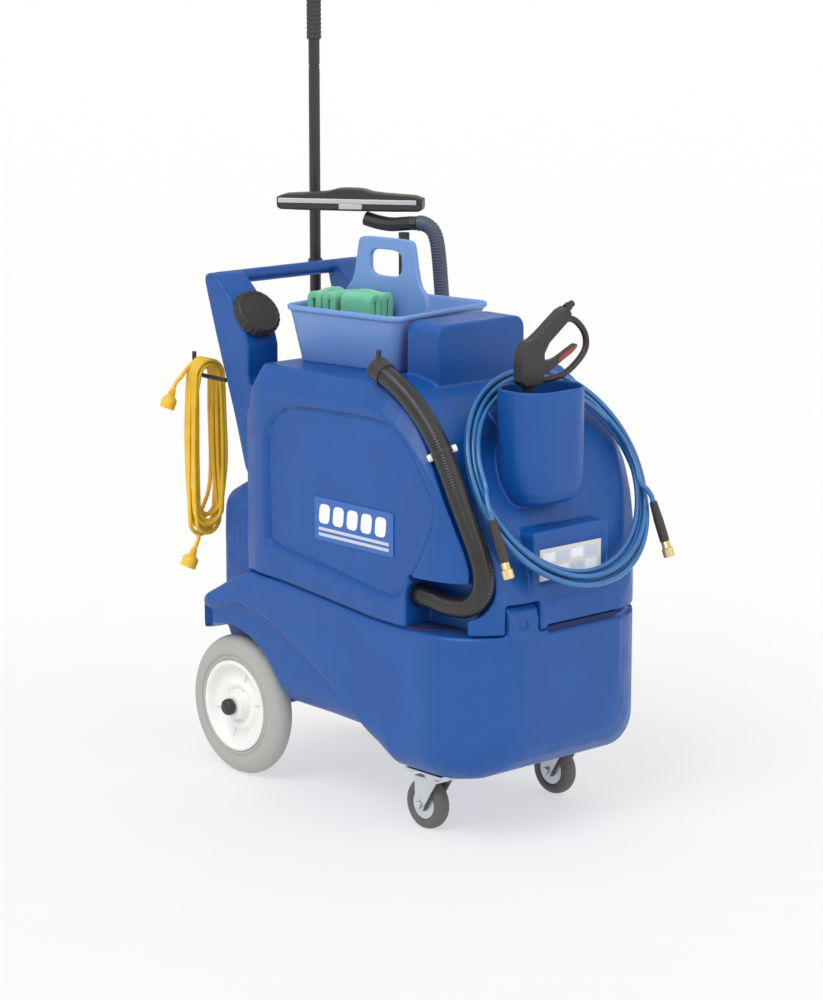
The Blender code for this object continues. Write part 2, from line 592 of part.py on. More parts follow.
def extension_cord():
    centre_z = (HANK_TOP_Z + HANK_LOW_Z) / 2
    half = (HANK_TOP_Z - HANK_LOW_Z) / 2
    upper_r, lower_r = 0.030, HANK_HALF_WIDTH
    outline = ([(HANK_Y + y, centre_z + half - upper_r + z)
                for y, z in arc((0, 0), upper_r, 0, 180, 8)]
               + [(HANK_Y + y, centre_z - half + lower_r + z)
                  for y, z in arc((0, 0), lower_r, 180, 360, 10)])
    hank = prism("cord_hank", outline, "X", HANK_X - HANK_HALF_THICK, HANK_X + HANK_HALF_THICK,
                 YELLOW)
    cut(hank, box("hook_gap", (HANK_X - 0.030, HANK_Y - 0.0085, HANK_TOP_Z - 0.060),
                  (HANK_X + 0.030, HANK_Y + 0.0085, HANK_TOP_Z - 0.018)))
    tube("cord_lead_plug", PLUG_LEAD, CORD_R, YELLOW, spacing=0.010)
    tube("cord_lead_socket", SOCKET_LEAD, CORD_R, YELLOW, spacing=0.010)
    for name, lead, wide in (("cord_plug", PLUG_LEAD, 0.0150), ("cord_socket", SOCKET_LEAD, 0.0170)):
        end, along = end_of(lead, 0.010)
        turned(name, [(0.0, GAP), (0.0070, GAP), (0.0090, 0.014), (wide, 0.022), (wide, 0.042),
                      (0.0, 0.042)], end, along, YELLOW, sides=12)


def cord_hook():
    tube("cord_hook", [(-0.3290, HANK_Y, 0.800), (-0.360, HANK_Y, 0.800), (-0.400, HANK_Y, 0.8005),
                       (-0.424, HANK_Y, 0.806), (-0.431, HANK_Y, 0.826), (-0.431, HANK_Y, 0.846)],
         0.0045, BLACK, spacing=0.009)


# ---------------------------------------------------------------- accessories

def gun():
    x = GUN_X
    half = 0.0125
    body = prism("gun_body", [(-0.078, 0.862), (-0.026, 0.862), (-0.020, 0.874), (-0.020, 0.930),
                              (0.052, 0.982), (0.040, 1.006), (-0.040, 0.950), (-0.066, 0.944),
                              (-0.078, 0.920)], "X", x - half, x + half, BLACK)
    join(body, tube_mesh("gun_guard", [(0.034, 0.977), (0.066, 0.974), (0.094, 0.948),
                                       (0.098, 0.918), (0.074, 0.892), (0.036, 0.873),
                                       (-0.022, 0.868)], 0.0065, sides=8, spacing=0.016, plane_x=x))
    cut(body, box("trigger_slot", (x - 0.0072, -0.0320, 0.8740), (x + 0.0072, 0.0, 0.9120)))
    join(body, rod("gun_lance", (x, -0.052, 0.880), (x, -0.046, 0.740), 0.011, sides=14))
    turned("gun_inlet", [(0.0, GAP), (0.0085, GAP), (0.0085, 0.010), (0.0065, 0.012),
                         (0.0065, 0.020), (0.0, 0.020)],
           (x, 0.0446, 0.9968), (0.0, 0.024, 0.012), BRASS, sides=12)
    prism("gun_trigger", [(-0.0300, 0.8860), (-0.0120, 0.8770), (0.0200, 0.8950), (0.0600, 0.9140),
                          (0.0720, 0.9240), (0.0690, 0.9300), (0.0550, 0.9240), (0.0150, 0.9060),
                          (-0.0150, 0.9040), (-0.0300, 0.9000)], "X", x - 0.0060, x + 0.0060, RED)


def caddy():
    def ring(half_x, half_y, radius, z):
        turn = Matrix.Rotation(CADDY_YAW, 3, "Z")
        return [turn @ Vector((px, py, 0.0)) + Vector((CADDY_X, CADDY_Y, z))
                for px, py in rounded_box_outline(half_x, half_y, radius, 3)]

    base_z = DECK_Z + GAP
    (bx, by), (tx, ty) = CADDY_BASE_HALF, CADDY_HALF
    lip, wall = 0.005, 0.004
    body = loft("caddy", [ring(bx, by, 0.018, base_z), ring(tx, ty, 0.022, CADDY_TOP_Z - 0.010),
                          ring(tx + lip, ty + lip, 0.026, CADDY_TOP_Z - 0.008),
                          ring(tx + lip, ty + lip, 0.026, CADDY_TOP_Z)], LIGHT_BLUE)
    cut(body, loft("caddy_inside", [ring(bx - wall, by - wall, 0.015, base_z + wall),
                                    ring(tx - wall + 0.003, ty - wall + 0.003, 0.020,
                                         CADDY_TOP_Z + 0.020)]))
    outline = [(-0.112, base_z + 0.002), (0.112, base_z + 0.002), (0.104, 0.985), (0.082, 1.010),
               (0.070, 1.085), (0.062, 1.095), (-0.062, 1.095), (-0.070, 1.085), (-0.082, 1.010),
               (-0.104, 0.985)]
    plate = prism("caddy_handle", outline, "Y", -0.0065, 0.0065)
    hole = prism("handle_hole", [(-0.038, 1.022), (0.038, 1.022), (0.038, 1.070), (-0.038, 1.070)],
                 "Y", -0.030, 0.030)
    place = Matrix.Translation((CADDY_X, CADDY_Y, 0.0)) @ Matrix.Rotation(CADDY_YAW, 4, "Z")
    for piece in (plate, hole):
        piece.data.transform(place)
    join(body, plate)
    cut(body, hole)
    for number, (low_x, high_x, top) in enumerate(((-0.116, -0.042, 0.994),
                                                   (-0.040, 0.036, 0.998)), 1):
        cloth = box(f"cloth_{number}", (low_x, -0.100, base_z + wall + 0.001),
                    (high_x, -0.018, top), GREEN)
        cloth.data.transform(place)


def pole():
    rod("pole", (POLE_X, POLE_Y, POLE_FOOT_Z), (POLE_X, POLE_Y, GRIP_Z), POLE_R, BLACK, sides=16)
    turned("pole_grip", [(0.0, 0.0), (GRIP_R, 0.0), (GRIP_R, POLE_TOP_Z - GRIP_Z - 0.010),
                         (0.008, POLE_TOP_Z - GRIP_Z), (0.0, POLE_TOP_Z - GRIP_Z)],
           (POLE_X, POLE_Y, GRIP_Z + GAP), (0, 0, 1), BLACK, sides=16)
    ring = turned("pole_clip", [(POLE_R + 0.001, -0.008), (POLE_R + 0.0035, -0.008),
                                (POLE_R + 0.0035, 0.008), (POLE_R + 0.001, 0.008)],
                  (POLE_X, POLE_Y, BAR_Z), (0, 0, 1), BLACK, sides=20)
    join(ring, box("clip_arm", (POLE_X + POLE_R + 0.0020, POLE_Y - 0.006, BAR_Z - 0.006),
                   (-0.3895, POLE_Y + 0.006, BAR_Z + 0.006)))
    cup = turned("pole_cup", [(0.0, 0.395), (0.0150, 0.395), (0.0150, 0.450), (0.0127, 0.450),
                              (0.0127, 0.4050), (0.0, 0.4050)],
                 (POLE_X, POLE_Y, 0.0), (0, 0, 1), BLACK, sides=20)
    join(cup, box("cup_arm", (POLE_X + 0.0135, POLE_Y - 0.010, 0.410),
                  (-0.3754, POLE_Y + 0.010, 0.440)))


def floor_tool():
    place = Matrix.Translation(HEAD_CENTRE) @ Matrix.Rotation(HEAD_YAW, 4, "Z")
    head = prism("squeegee_head", [(-0.150, -0.016), (-0.140, -0.021), (0.140, -0.021),
                                   (0.150, -0.016), (0.150, 0.010), (0.050, 0.016),
                                   (0.022, 0.024), (-0.022, 0.024), (-0.050, 0.016),
                                   (-0.150, 0.010)], "Y", -0.016, 0.020, BLACK)
    blade = box("squeegee_blade", (-0.146, -0.0225, -0.017), (0.146, -0.0164, 0.004), SILVER)
    for piece in (head, blade):
        piece.data.transform(place)
    hose_axis = (Vector(VAC_ROUTE[1]) - Vector(VAC_ROUTE[0])).normalized()
    elbow_end = Vector(VAC_ROUTE[0]) - 0.0020 * hose_axis
    elbow_route = [(-0.2620, 0.1160, 1.1055), (-0.240, 0.127, 1.0990), (-0.210, 0.1385, 1.0955),
                   (-0.182, 0.149, 1.0985), elbow_end - 0.012 * hose_axis, elbow_end]
    tube("tool_elbow", elbow_route, 0.0145, BLACK, spacing=0.012)
    rod("tool_stand", (*STAND_XY, DECK_Z + GAP), (*STAND_XY, 1.0810), 0.011, BLACK, sides=16)
    tube("vacuum_hose", VAC_ROUTE, VAC_HOSE_R, DARK_RUBBER, spacing=0.014, resolution=3)
    turned("vacuum_port", [(0.0, 0.0), (0.028, 0.0), (0.028, 0.004), (0.0205, 0.008),
                           (0.0205, 0.030), (0.0, 0.030)],
           (*VAC_ROUTE[-1][:2], DECK_Z + 0.001), (0, 0, 1), BLACK, sides=20)


def main():
    clear_scene()
    base_tank()
    axle()
    rear_wheels()
    casters()
    recovery_tank()
    tank_details()
    motor_bay()
    handle_frame()
    fill_cap()
    control_panel()
    drain_hose()
    pressure_hose()
    cord_hook()
    extension_cord()
    gun()
    caddy()
    pole()
    floor_tool()


main()
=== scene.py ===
"""Looks of the carpet cleaner cart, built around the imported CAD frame. Metres, +Z up."""
import math
import random

import bmesh
import bpy
from mathutils import Matrix, Vector
from mathutils.kdtree import KDTree


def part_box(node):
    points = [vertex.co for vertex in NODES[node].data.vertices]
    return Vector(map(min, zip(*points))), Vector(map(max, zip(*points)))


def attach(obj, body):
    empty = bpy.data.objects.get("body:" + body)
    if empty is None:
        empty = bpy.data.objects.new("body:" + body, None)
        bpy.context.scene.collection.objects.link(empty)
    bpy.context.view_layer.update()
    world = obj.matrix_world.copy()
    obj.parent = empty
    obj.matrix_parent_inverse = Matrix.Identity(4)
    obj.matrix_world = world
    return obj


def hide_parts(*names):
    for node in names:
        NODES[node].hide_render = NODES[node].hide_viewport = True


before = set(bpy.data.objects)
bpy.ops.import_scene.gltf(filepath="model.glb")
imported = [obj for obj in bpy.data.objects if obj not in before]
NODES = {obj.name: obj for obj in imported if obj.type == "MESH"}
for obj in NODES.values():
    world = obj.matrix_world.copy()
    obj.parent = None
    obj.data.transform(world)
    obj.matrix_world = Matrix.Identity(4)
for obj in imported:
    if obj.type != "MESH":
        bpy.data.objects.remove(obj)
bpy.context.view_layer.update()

# Camera
VIEW_AZIMUTH, VIEW_ELEVATION = math.radians(48.0), math.radians(11.7)
VIEW_TARGET, VIEW_DISTANCE, LENS = Vector((-0.2837, 0.2605, 0.5)), 6.5, 111.6

# Bodies, as in the CAD
HALF_WIDTH, FRONT_X, CORNER_R = 0.25, 0.4575, 0.15
DECK_Z, TANK_REAR_X, FLOOR_Z = 0.856, -0.215, 0.125
WHEEL_X, WHEEL_Y, WHEEL_R, ARCH_R, ARCH_INNER_Y = -0.285, 0.197, 0.1425, 0.17, 0.158
CUP_X, CUP_Y, CUP_TOP_Z = 0.3915, -0.0245, 0.86
CUP_HALF_X, CUP_HALF_Y, CUP_CORNER, CUP_WALL = 0.0655, 0.084, 0.06, 0.005
BAR_X, BAR_Z, BAR_R = -0.375, 0.997, 0.014
POST_INNER_Y, POST_OUTER_Y = 0.12, 0.2
SEAM = [(-0.39, 0.345), (-0.375, 0.356), (-0.345, 0.368), (-0.3, 0.392), (-0.25, 0.42), (-0.215, 0.434),
        (-0.195, 0.439), (-0.1, 0.436), (0.0, 0.427), (0.09, 0.418), (0.17, 0.41), (0.24, 0.408),
        (0.3075, 0.41), (0.4545, 0.412)]
FLOOR = [(-0.39, 0.305), (-0.375, 0.268), (-0.345, 0.225), (-0.3, 0.196), (-0.25, 0.186),
         (-0.15, 0.178), (0.0, 0.176), (0.09, 0.172), (0.17, 0.15), (0.215, FLOOR_Z), (0.35, FLOOR_Z),
         (0.39, 0.131), (0.42, 0.146), (0.44, 0.165), (0.45, 0.188), (0.4545, 0.215)]
CREST = [(TANK_REAR_X, 0.792), (-0.203, 0.806), (-0.19, 0.846), (-0.176, DECK_Z), (0.15, DECK_Z),
         (0.195, 0.848), (0.232, 0.828), (0.275, 0.798), (0.315, 0.762), (0.35, 0.716), (0.38, 0.662),
         (0.405, 0.606), (0.425, 0.556), (0.44, 0.51), (0.45, 0.478), (0.4545, 0.462)]
DRAIN_R, CLIP_Z = 0.0205, 0.752
DRAIN_ROUTE = [(0.2695, -0.214, 0.47), (0.302, -0.214, 0.469), (0.345, -0.213, 0.463),
               (0.392, -0.208, 0.468), (0.418, -0.202, 0.492), (0.426, -0.201, 0.53),
               (0.417, -0.206, 0.575), (0.4, -0.213, 0.62), (0.381, -0.219, 0.665),
               (0.36, -0.223, 0.712), (0.334, -0.2255, 0.76), (0.3, -0.227, 0.802),
               (0.258, -0.2275, 0.838), (0.214, -0.2265, 0.864), (0.166, -0.2245, 0.884)]
VAC_HOSE_R = 0.0155
VAC_ROUTE = [(-0.153, 0.161, 1.1005), (-0.144, 0.1665, 1.1005), (-0.128, 0.174, 1.091),
             (-0.118, 0.178, 1.071), (-0.111, 0.179, 1.035), (-0.105, 0.179, 0.985),
             (-0.099, 0.1785, 0.935), (-0.094, 0.178, 0.89)]

# Both cords: the spacing of their points, and the sides of their rings
CORD_STEP, CORD_SIDES = 0.006, 14

# Pressure hose
COIL_CENTRE, COIL_R, COIL_LEAN = Vector((0.393, 0.021, 0.683)), 0.2, math.radians(30.0)
HOSE_R, HOSE_TURNS = 0.005, 5
HOSE_END_A = [(0.4075, -0.18, 0.693), (0.417, -0.187, 0.68), (0.428, -0.193, 0.664),
              (0.437, -0.196, 0.651), (0.442, -0.195, 0.637)]
HOSE_END_B = [(0.437, 0.196, 0.655), (0.447, 0.205, 0.642), (0.454, 0.21, 0.63), (0.457, 0.2125, 0.618)]

# Extension cord
CORD_R, HANK_X, HANK_Y, HANK_TOP_Z, HANK_LOW_Z = 0.0042, -0.4, -0.195, 0.838, 0.468
PLUG_LEAD = [(-0.4, -0.2285, 0.8), (-0.4, -0.241, 0.805), (-0.401, -0.254, 0.803),
             (-0.402, -0.265, 0.795), (-0.403, -0.271, 0.782)]
SOCKET_LEAD = [(-0.4, -0.215, 0.471), (-0.4, -0.219, 0.461), (-0.401, -0.224, 0.45)]

# Caddy
CADDY_PLACE = Matrix.Translation((-0.051, -0.012, 0.0)) @ Matrix.Rotation(math.radians(8.5), 4, "Z")
CADDY_TOP_Z, CADDY_HALF, CADDY_BASE_HALF = 0.968, 0.141, 0.124


# -------- mesh helpers

def full_turn(steps):
    return [2 * math.pi * i / steps for i in range(steps)]


def finish_mesh(name, bm, material=None, sharp=40.0):
    bmesh.ops.recalc_face_normals(bm, faces=bm.faces)
    mesh = bpy.data.meshes.new(name)
    bm.to_mesh(mesh)
    bm.free()
    mesh.shade_smooth()
    mesh.set_sharp_from_angle(angle=math.radians(sharp))
    made = bpy.data.objects.new(name, mesh)
    bpy.context.scene.collection.objects.link(made)
    if material is not None:
        mesh.materials.append(material)
    return made


def loft(name, rings, material=None, sharp=40.0):
    """Closed solid through rings of equal point count."""
    bm = bmesh.new()
    rows = [[bm.verts.new(point) for point in ring] for ring in rings]
    count = len(rows[0])
    for lower, upper in zip(rows, rows[1:]):
        for i in range(count):
            j = (i + 1) % count
            bm.faces.new((lower[i], lower[j], upper[j], upper[i]))
    bm.faces.new(rows[0])
    bm.faces.new(rows[-1])
    return finish_mesh(name, bm, material, sharp)


def box(name, low, high, material=None):
    ring = rectangle(*low[:2], *high[:2])
    return loft(name, [[(x, y, z) for x, y in ring] for z in (low[2], high[2])], material)


def prism(name, outline, axis, low, high, material=None):
    """Extrudes a 2-D outline along an axis; the outline holds the two other coordinates in order."""
    def place(point, level):
        values = list(point)
        values.insert("XYZ".index(axis), level)
        return tuple(values)
    return loft(name, [[place(p, level) for p in outline] for level in (low, high)], material)


def turned(name, profile, centre, axis, material=None, sides=96, sharp=40.0):
    """Solid of revolution; the profile holds (radius, height), closed on the axis or as a loop."""
    turn = Vector((0, 0, 1)).rotation_difference(Vector(axis).normalized()).to_matrix().to_4x4()
    place = Matrix.Translation(Vector(centre)) @ turn
    bm = bmesh.new()
    rows = []
    for radius, height in profile:
        if radius == 0.0:
            rows.append([bm.verts.new(place @ Vector((0, 0, height)))])
            continue
        rows.append([bm.verts.new(place @ Vector((radius * math.cos(a), radius * math.sin(a), height)))
                     for a in full_turn(sides)])
    pairs = list(zip(rows, rows[1:]))
    if profile[0][0] != 0.0:
        pairs.append((rows[-1], rows[0]))
    for lower, upper in pairs:
        for i in range(sides):
            j = (i + 1) % sides
            corners = [lower[i % len(lower)], lower[j % len(lower)],
                       upper[j % len(upper)], upper[i % len(upper)]]
            bm.faces.new(list(dict.fromkeys(corners)))
    return finish_mesh(name, bm, material, sharp)


def rod(name, start, end, radius, material=None, sides=32):
    start, end = Vector(start), Vector(end)
    length = (end - start).length
    return turned(name, [(0.0, 0.0), (radius, 0.0), (radius, length), (0.0, length)],
                  start, end - start, material, sides)


def spline_points(route, spacing):
    """Points at an even spacing along a Catmull-Rom curve through the route."""
    points = [Vector(p) for p in route]
    padded = [2 * points[0] - points[1]] + points + [2 * points[-1] - points[-2]]
    fine = []
    for a, b, c, d in zip(padded, padded[1:], padded[2:], padded[3:]):
        for step in range(24):
            t = step / 24
            fine.append(0.5 * (2 * b + (c - a) * t + (2 * a - 5 * b + 4 * c - d) * t * t
                               + (3 * b - a - 3 * c + d) * t ** 3))
    fine.append(points[-1])
    lengths = [0.0]
    for a, b in zip(fine, fine[1:]):
        lengths.append(lengths[-1] + (b - a).length)
    count = max(2, round(lengths[-1] / spacing))
    result, index = [], 0
    for step in range(count + 1):
        wanted = lengths[-1] * step / count
        while index < len(fine) - 2 and lengths[index + 1] < wanted:
            index += 1
        span = max(lengths[index + 1] - lengths[index], 1e-12)
        result.append(fine[index].lerp(fine[index + 1], (wanted - lengths[index]) / span))
    return result


def end_of(route, spacing):
    """Last point of the curve through the route, and its direction there."""
    run = spline_points(route, spacing)
    return run[-1], (run[-1] - run[-2]).normalized()


def tube_rings(points, radius_at, sides):
    """Rings around a line of points; radius_at(i) is the radius at point i."""
    rings, side = [], None
    for i, point in enumerate(points):
        along = (points[min(i + 1, len(points) - 1)] - points[max(i - 1, 0)]).normalized()
        if side is None:
            side = along.orthogonal().normalized()
        side = (side - along * side.dot(along)).normalized()
        other = along.cross(side)
        radius = radius_at(i)
        rings.append([point + radius * (math.cos(a) * side + math.sin(a) * other)
                      for a in full_turn(sides)])
    return rings


def ribbed_tube(name, route, radius, material, pitch=0.0052, depth=0.0009, sides=32):
    """Hose with fine rings round it, smooth over its two ends."""
    points = spline_points(route, pitch / 4)
    last = len(points) - 1
    waves = (0.0, 0.5, 1.0, 0.5)

    def radius_at(i):
        cuff = i < 14 or i > last - 14
        return radius - (0.0 if cuff else depth * waves[i % 4])
    return loft(name, tube_rings(points, radius_at, sides), material, sharp=80)


def arc(centre, radius, start, end, steps):
    return [(centre[0] + radius * math.cos(math.radians(start + (end - start) * i / steps)),
             centre[1] + radius * math.sin(math.radians(start + (end - start) * i / steps)))
            for i in range(steps + 1)]


def rectangle(low_a, low_b, high_a, high_b):
    return [(low_a, low_b), (high_a, low_b), (high_a, high_b), (low_a, high_b)]


def rounded_rectangle(half_width, low, high, low_r, high_r, steps=6):
    """Outline in (y, z), with the bottom corners of low_r and the top ones of high_r."""
    low_r = min(low_r, half_width * 0.98, (high - low) * 0.49)
    high_r = min(high_r, half_width * 0.98, (high - low) * 0.49)
    return (arc((half_width - low_r, low + low_r), low_r, -90, 0, steps)
            + arc((half_width - high_r, high - high_r), high_r, 0, 90, steps)
            + arc((-half_width + high_r, high - high_r), high_r, 90, 180, steps)
            + arc((-half_width + low_r, low + low_r), low_r, 180, 270, steps))


def rounded_outline(half_x, half_y, radius, steps=8):
    return rounded_rectangle(half_x, -half_y, half_y, radius, radius, steps)


def chamfered_rectangle(half_width, low, high, low_r, run, drop, steps=6):
    """Outline in (y, z) like rounded_rectangle, with flat slopes for its top corners."""
    low_r, drop = min(low_r, (high - low) * 0.49), min(drop, (high - low) * 0.49)
    ease = [(0.0, -1.0), (0.0, -0.94), (0.02, -0.86), (0.1, -0.76), (0.84, -0.12), (0.96, -0.02),
            (1.06, 0.0)]
    right = [(half_width - run * a, high + drop * b) for a, b in ease]
    return (arc((half_width - low_r, low + low_r), low_r, -90, 0, steps) + right
            + [(-y, z) for y, z in right[::-1]]
            + arc((-half_width + low_r, low + low_r), low_r, 180, 270, steps))


def smooth_outline(points, rounds):
    """The outline with each corner cut twice, so that it comes out rounded."""
    for _ in range(rounds):
        finer = []
        for a, b in zip(points, points[1:] + points[:1]):
            finer += [(a[0] * 0.82 + b[0] * 0.18, a[1] * 0.82 + b[1] * 0.18),
                      (a[0] * 0.18 + b[0] * 0.82, a[1] * 0.18 + b[1] * 0.82)]
        points = finer
    return points


def level_at(table, x):
    for (x0, v0), (x1, v1) in zip(table, table[1:]):
        if x <= x1:
            return v0 + (v1 - v0) * max(0.0, x - x0) / (x1 - x0)
    return table[-1][1]


def plan_half_width(x, rear_x, rear_half_width):
    front_start = FRONT_X - CORNER_R
    if x > front_start:
        reach = min(x - front_start, CORNER_R * 0.9999)
        return HALF_WIDTH - CORNER_R + math.sqrt(CORNER_R ** 2 - reach ** 2)
    blend = min(1.0, (x - rear_x) / 0.06)
    return rear_half_width + (HALF_WIDTH - rear_half_width) * math.sin(blend * math.pi / 2)


def applied(obj):
    """Turns the object's modifiers into its mesh."""
    graph = bpy.context.evaluated_depsgraph_get()
    mesh = bpy.data.meshes.new_from_object(obj.evaluated_get(graph))
    obj.modifiers.clear()
    obj.data = mesh
    return obj


def combined(body, joined, cutters=()):
    """Joins solids to the body, cuts others out of it, and removes them all from the scene."""
    for operation, tools in (("UNION", joined), ("DIFFERENCE", cutters)):
        for tool in tools:
            modifier = body.modifiers.new(tool.name, "BOOLEAN")
            modifier.operation, modifier.object = operation, tool
    applied(body)
    for tool in [*joined, *cutters]:
        bpy.data.objects.remove(tool)


def moulded(name, body, joined, cutters, material, voxel=0.0032, passes=5):
    """One moulded shell: the solids joined and cut, then remeshed so that every edge is soft."""
    combined(body, joined, cutters)
    remesh = body.modifiers.new("remesh", "REMESH")
    remesh.mode, remesh.voxel_size = "VOXEL", voxel
    soften = body.modifiers.new("soften", "SMOOTH")
    soften.factor, soften.iterations = 0.5, passes
    applied(body)
    body.name = name
    body.data.shade_smooth()
    body.data.materials.clear()
    body.data.materials.append(material)
    return body


def shown(obj, body, slot_name, *replaced):
    """Makes obj ride on its body and stand for the CAD nodes it replaces, which it hides; slot_name is not
    used.
    """
    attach(obj, body)
    if replaced:
        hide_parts(*replaced)
    return obj


def rounded_edges(obj, width, segments=3, angle=35.0):
    weld = obj.modifiers.new("weld", "WELD")
    weld.merge_threshold = 0.00002
    bevel = obj.modifiers.new("bevel", "BEVEL")
    bevel.width, bevel.segments, bevel.limit_method = width, segments, "ANGLE"
    bevel.angle_limit = math.radians(angle)
    bevel.harden_normals = False
    return obj


# -------- materials

def linear(r, g, b):
    return tuple((c / 255 / 12.92) if c <= 10.31 else ((c / 255 + 0.055) / 1.055) ** 2.4
                 for c in (r, g, b)) + (1.0,)


def wired(node, **values):
    """Sets the inputs of a node by name (_ for a space), or links them where the value is a socket."""
    for key, value in values.items():
        socket = node.inputs[key.replace("_", " ")]
        if isinstance(value, bpy.types.NodeSocket):
            node.id_data.links.new(value, socket)
        else:
            socket.default_value = value
    return node


def surface(name, colour, roughness, metallic=0.0, vary=0.08, vary_scale=6.0, bump=0.0,
            bump_scale=400.0, rough_vary=0.06, dirt=0.0, **extra):
    """Principled surface with slow colour change, roughness change and fine bump from noise."""
    made = bpy.data.materials.new(name)
    made.use_nodes = True
    nodes = made.node_tree.nodes
    place = nodes.new("ShaderNodeTexCoord").outputs["Object"]

    def noise(scale, detail=4.0):
        return wired(nodes.new("ShaderNodeTexNoise"), Scale=scale, Detail=detail,
                     Vector=place).outputs["Fac"]

    def spread(source, low, high):
        return wired(nodes.new("ShaderNodeMapRange"), From_Min=0.3, From_Max=0.7, To_Min=low,
                     To_Max=high, Value=source).outputs["Result"]

    def blended(kind, **values):
        mix = nodes.new("ShaderNodeMix")
        mix.data_type, mix.blend_type = "RGBA", kind
        return wired(mix, **values).outputs["Result"]

    result = blended("MIX", A=tuple(c * (1 - vary) for c in colour[:3]) + (1.0,),
                     B=tuple(min(1.0, c * (1 + vary)) for c in colour[:3]) + (1.0,),
                     Factor=spread(noise(vary_scale), 0.0, 1.0))
    if dirt:
        result = blended("MULTIPLY", A=result, B=(0.55, 0.52, 0.48, 1.0),
                         Factor=spread(noise(70.0, 6.0), -0.6, dirt))
    rough = spread(noise(vary_scale * 5), roughness - rough_vary, roughness + rough_vary)
    shader = wired(nodes["Principled BSDF"], Metallic=metallic, Base_Color=result, Roughness=rough,
                   **extra)
    if bump:
        rise = wired(nodes.new("ShaderNodeBump"), Strength=bump, Distance=0.0006,
                     Height=noise(bump_scale, 3.0))
        wired(shader, Normal=rise.outputs["Normal"])
    return made


BLUE = surface("moulded_blue", linear(10, 78, 154), 0.4, vary=0.06, bump=0.22, bump_scale=900.0,
               Specular_IOR_Level=0.45)
CADDY_BLUE = surface("caddy_blue", linear(112, 152, 210), 0.38, vary=0.04, bump=0.1,
                     Subsurface_Weight=0.08)
BLACK = surface("black_plastic", linear(46, 44, 44), 0.42, vary=0.12, bump=0.25, bump_scale=700.0)
GRIP = surface("grip_rubber", linear(52, 51, 52), 0.62, vary=0.12, bump=0.35, bump_scale=900.0)
HOSE_DARK = surface("drain_hose_rubber", linear(32, 30, 30), 0.28, vary=0.3, vary_scale=16.0,
                    bump=0.2, dirt=0.25, Coat_Weight=0.15)
VAC_DARK = surface("vacuum_hose_plastic", linear(72, 78, 96), 0.48, vary=0.12, bump=0.1)
CAP_DARK = surface("cap_plastic", linear(40, 35, 32), 0.5, vary=0.1, bump=0.25)
TYRE = surface("tyre_grey", linear(172, 171, 168), 0.72, vary=0.05, bump=0.3, bump_scale=500.0,
               dirt=0.18)
HUB = surface("hub_plastic", linear(236, 235, 233), 0.4, vary=0.03, bump=0.08)
CASTER_TYRE = surface("caster_rubber", linear(92, 90, 88), 0.6, vary=0.1, bump=0.2, dirt=0.15)
ZINC = surface("zinc_plate", linear(205, 208, 212), 0.36, metallic=0.85, vary=0.08, bump=0.12)
BRASS = surface("brass_fitting", linear(226, 208, 150), 0.3, metallic=0.75, vary=0.08)
SLEEVE = surface("hose_sleeve", linear(54, 48, 44), 0.45, vary=0.12, bump=0.12)
HOSE_BLUE = surface("hose_blue", linear(38, 104, 164), 0.2, vary=0.16, vary_scale=14.0,
                    Coat_Weight=0.5, Coat_Roughness=0.12, Subsurface_Weight=0.05)
YELLOW = surface("cord_yellow", linear(238, 192, 50), 0.42, vary=0.12, vary_scale=20.0,
                 Subsurface_Weight=0.1)
WHITE = surface("white_plastic", linear(232, 232, 228), 0.45, vary=0.03, bump=0.08)
STEEL = surface("steel_strip", linear(196, 198, 196), 0.38, metallic=0.55, vary=0.08, bump=0.1)
RED = surface("trigger_red", linear(150, 62, 48), 0.42, vary=0.1, bump=0.1)
PLATE = surface("plate_film", linear(48, 100, 178), 0.35, vary=0.03)
MARK = surface("mark_white", linear(238, 240, 246), 0.45, vary=0.02)
MARK_SOFT = surface("mark_lilac", linear(196, 204, 222), 0.45, vary=0.02)
PAPER = surface("label_paper", linear(214, 214, 212), 0.55, vary=0.05)
# painted shadow: dark navy standing for the shade in the joint between the two tanks
PAINTED_SEAM_SHADOW = surface("seam_shadow", linear(20, 32, 84), 0.7, vary=0.05)


def cloth_material():
    """Microfibre: a looped weave in the bump, over a slowly changing colour, with sheen."""
    made = surface("microfibre_green", linear(104, 190, 152), 0.9, vary=0.12, vary_scale=30.0,
                   Sheen_Weight=0.45, Sheen_Roughness=0.5)
    nodes = made.node_tree.nodes
    cells = wired(nodes.new("ShaderNodeTexVoronoi"), Scale=420.0,
                  Vector=nodes.new("ShaderNodeTexCoord").outputs["Object"])
    rise = wired(nodes.new("ShaderNodeBump"), Strength=0.7, Distance=0.0012,
                 Height=cells.outputs["Distance"])
    wired(nodes["Principled BSDF"], Normal=rise.outputs["Normal"])
    return made


CLOTH = cloth_material()


# -------- camera, floor, light

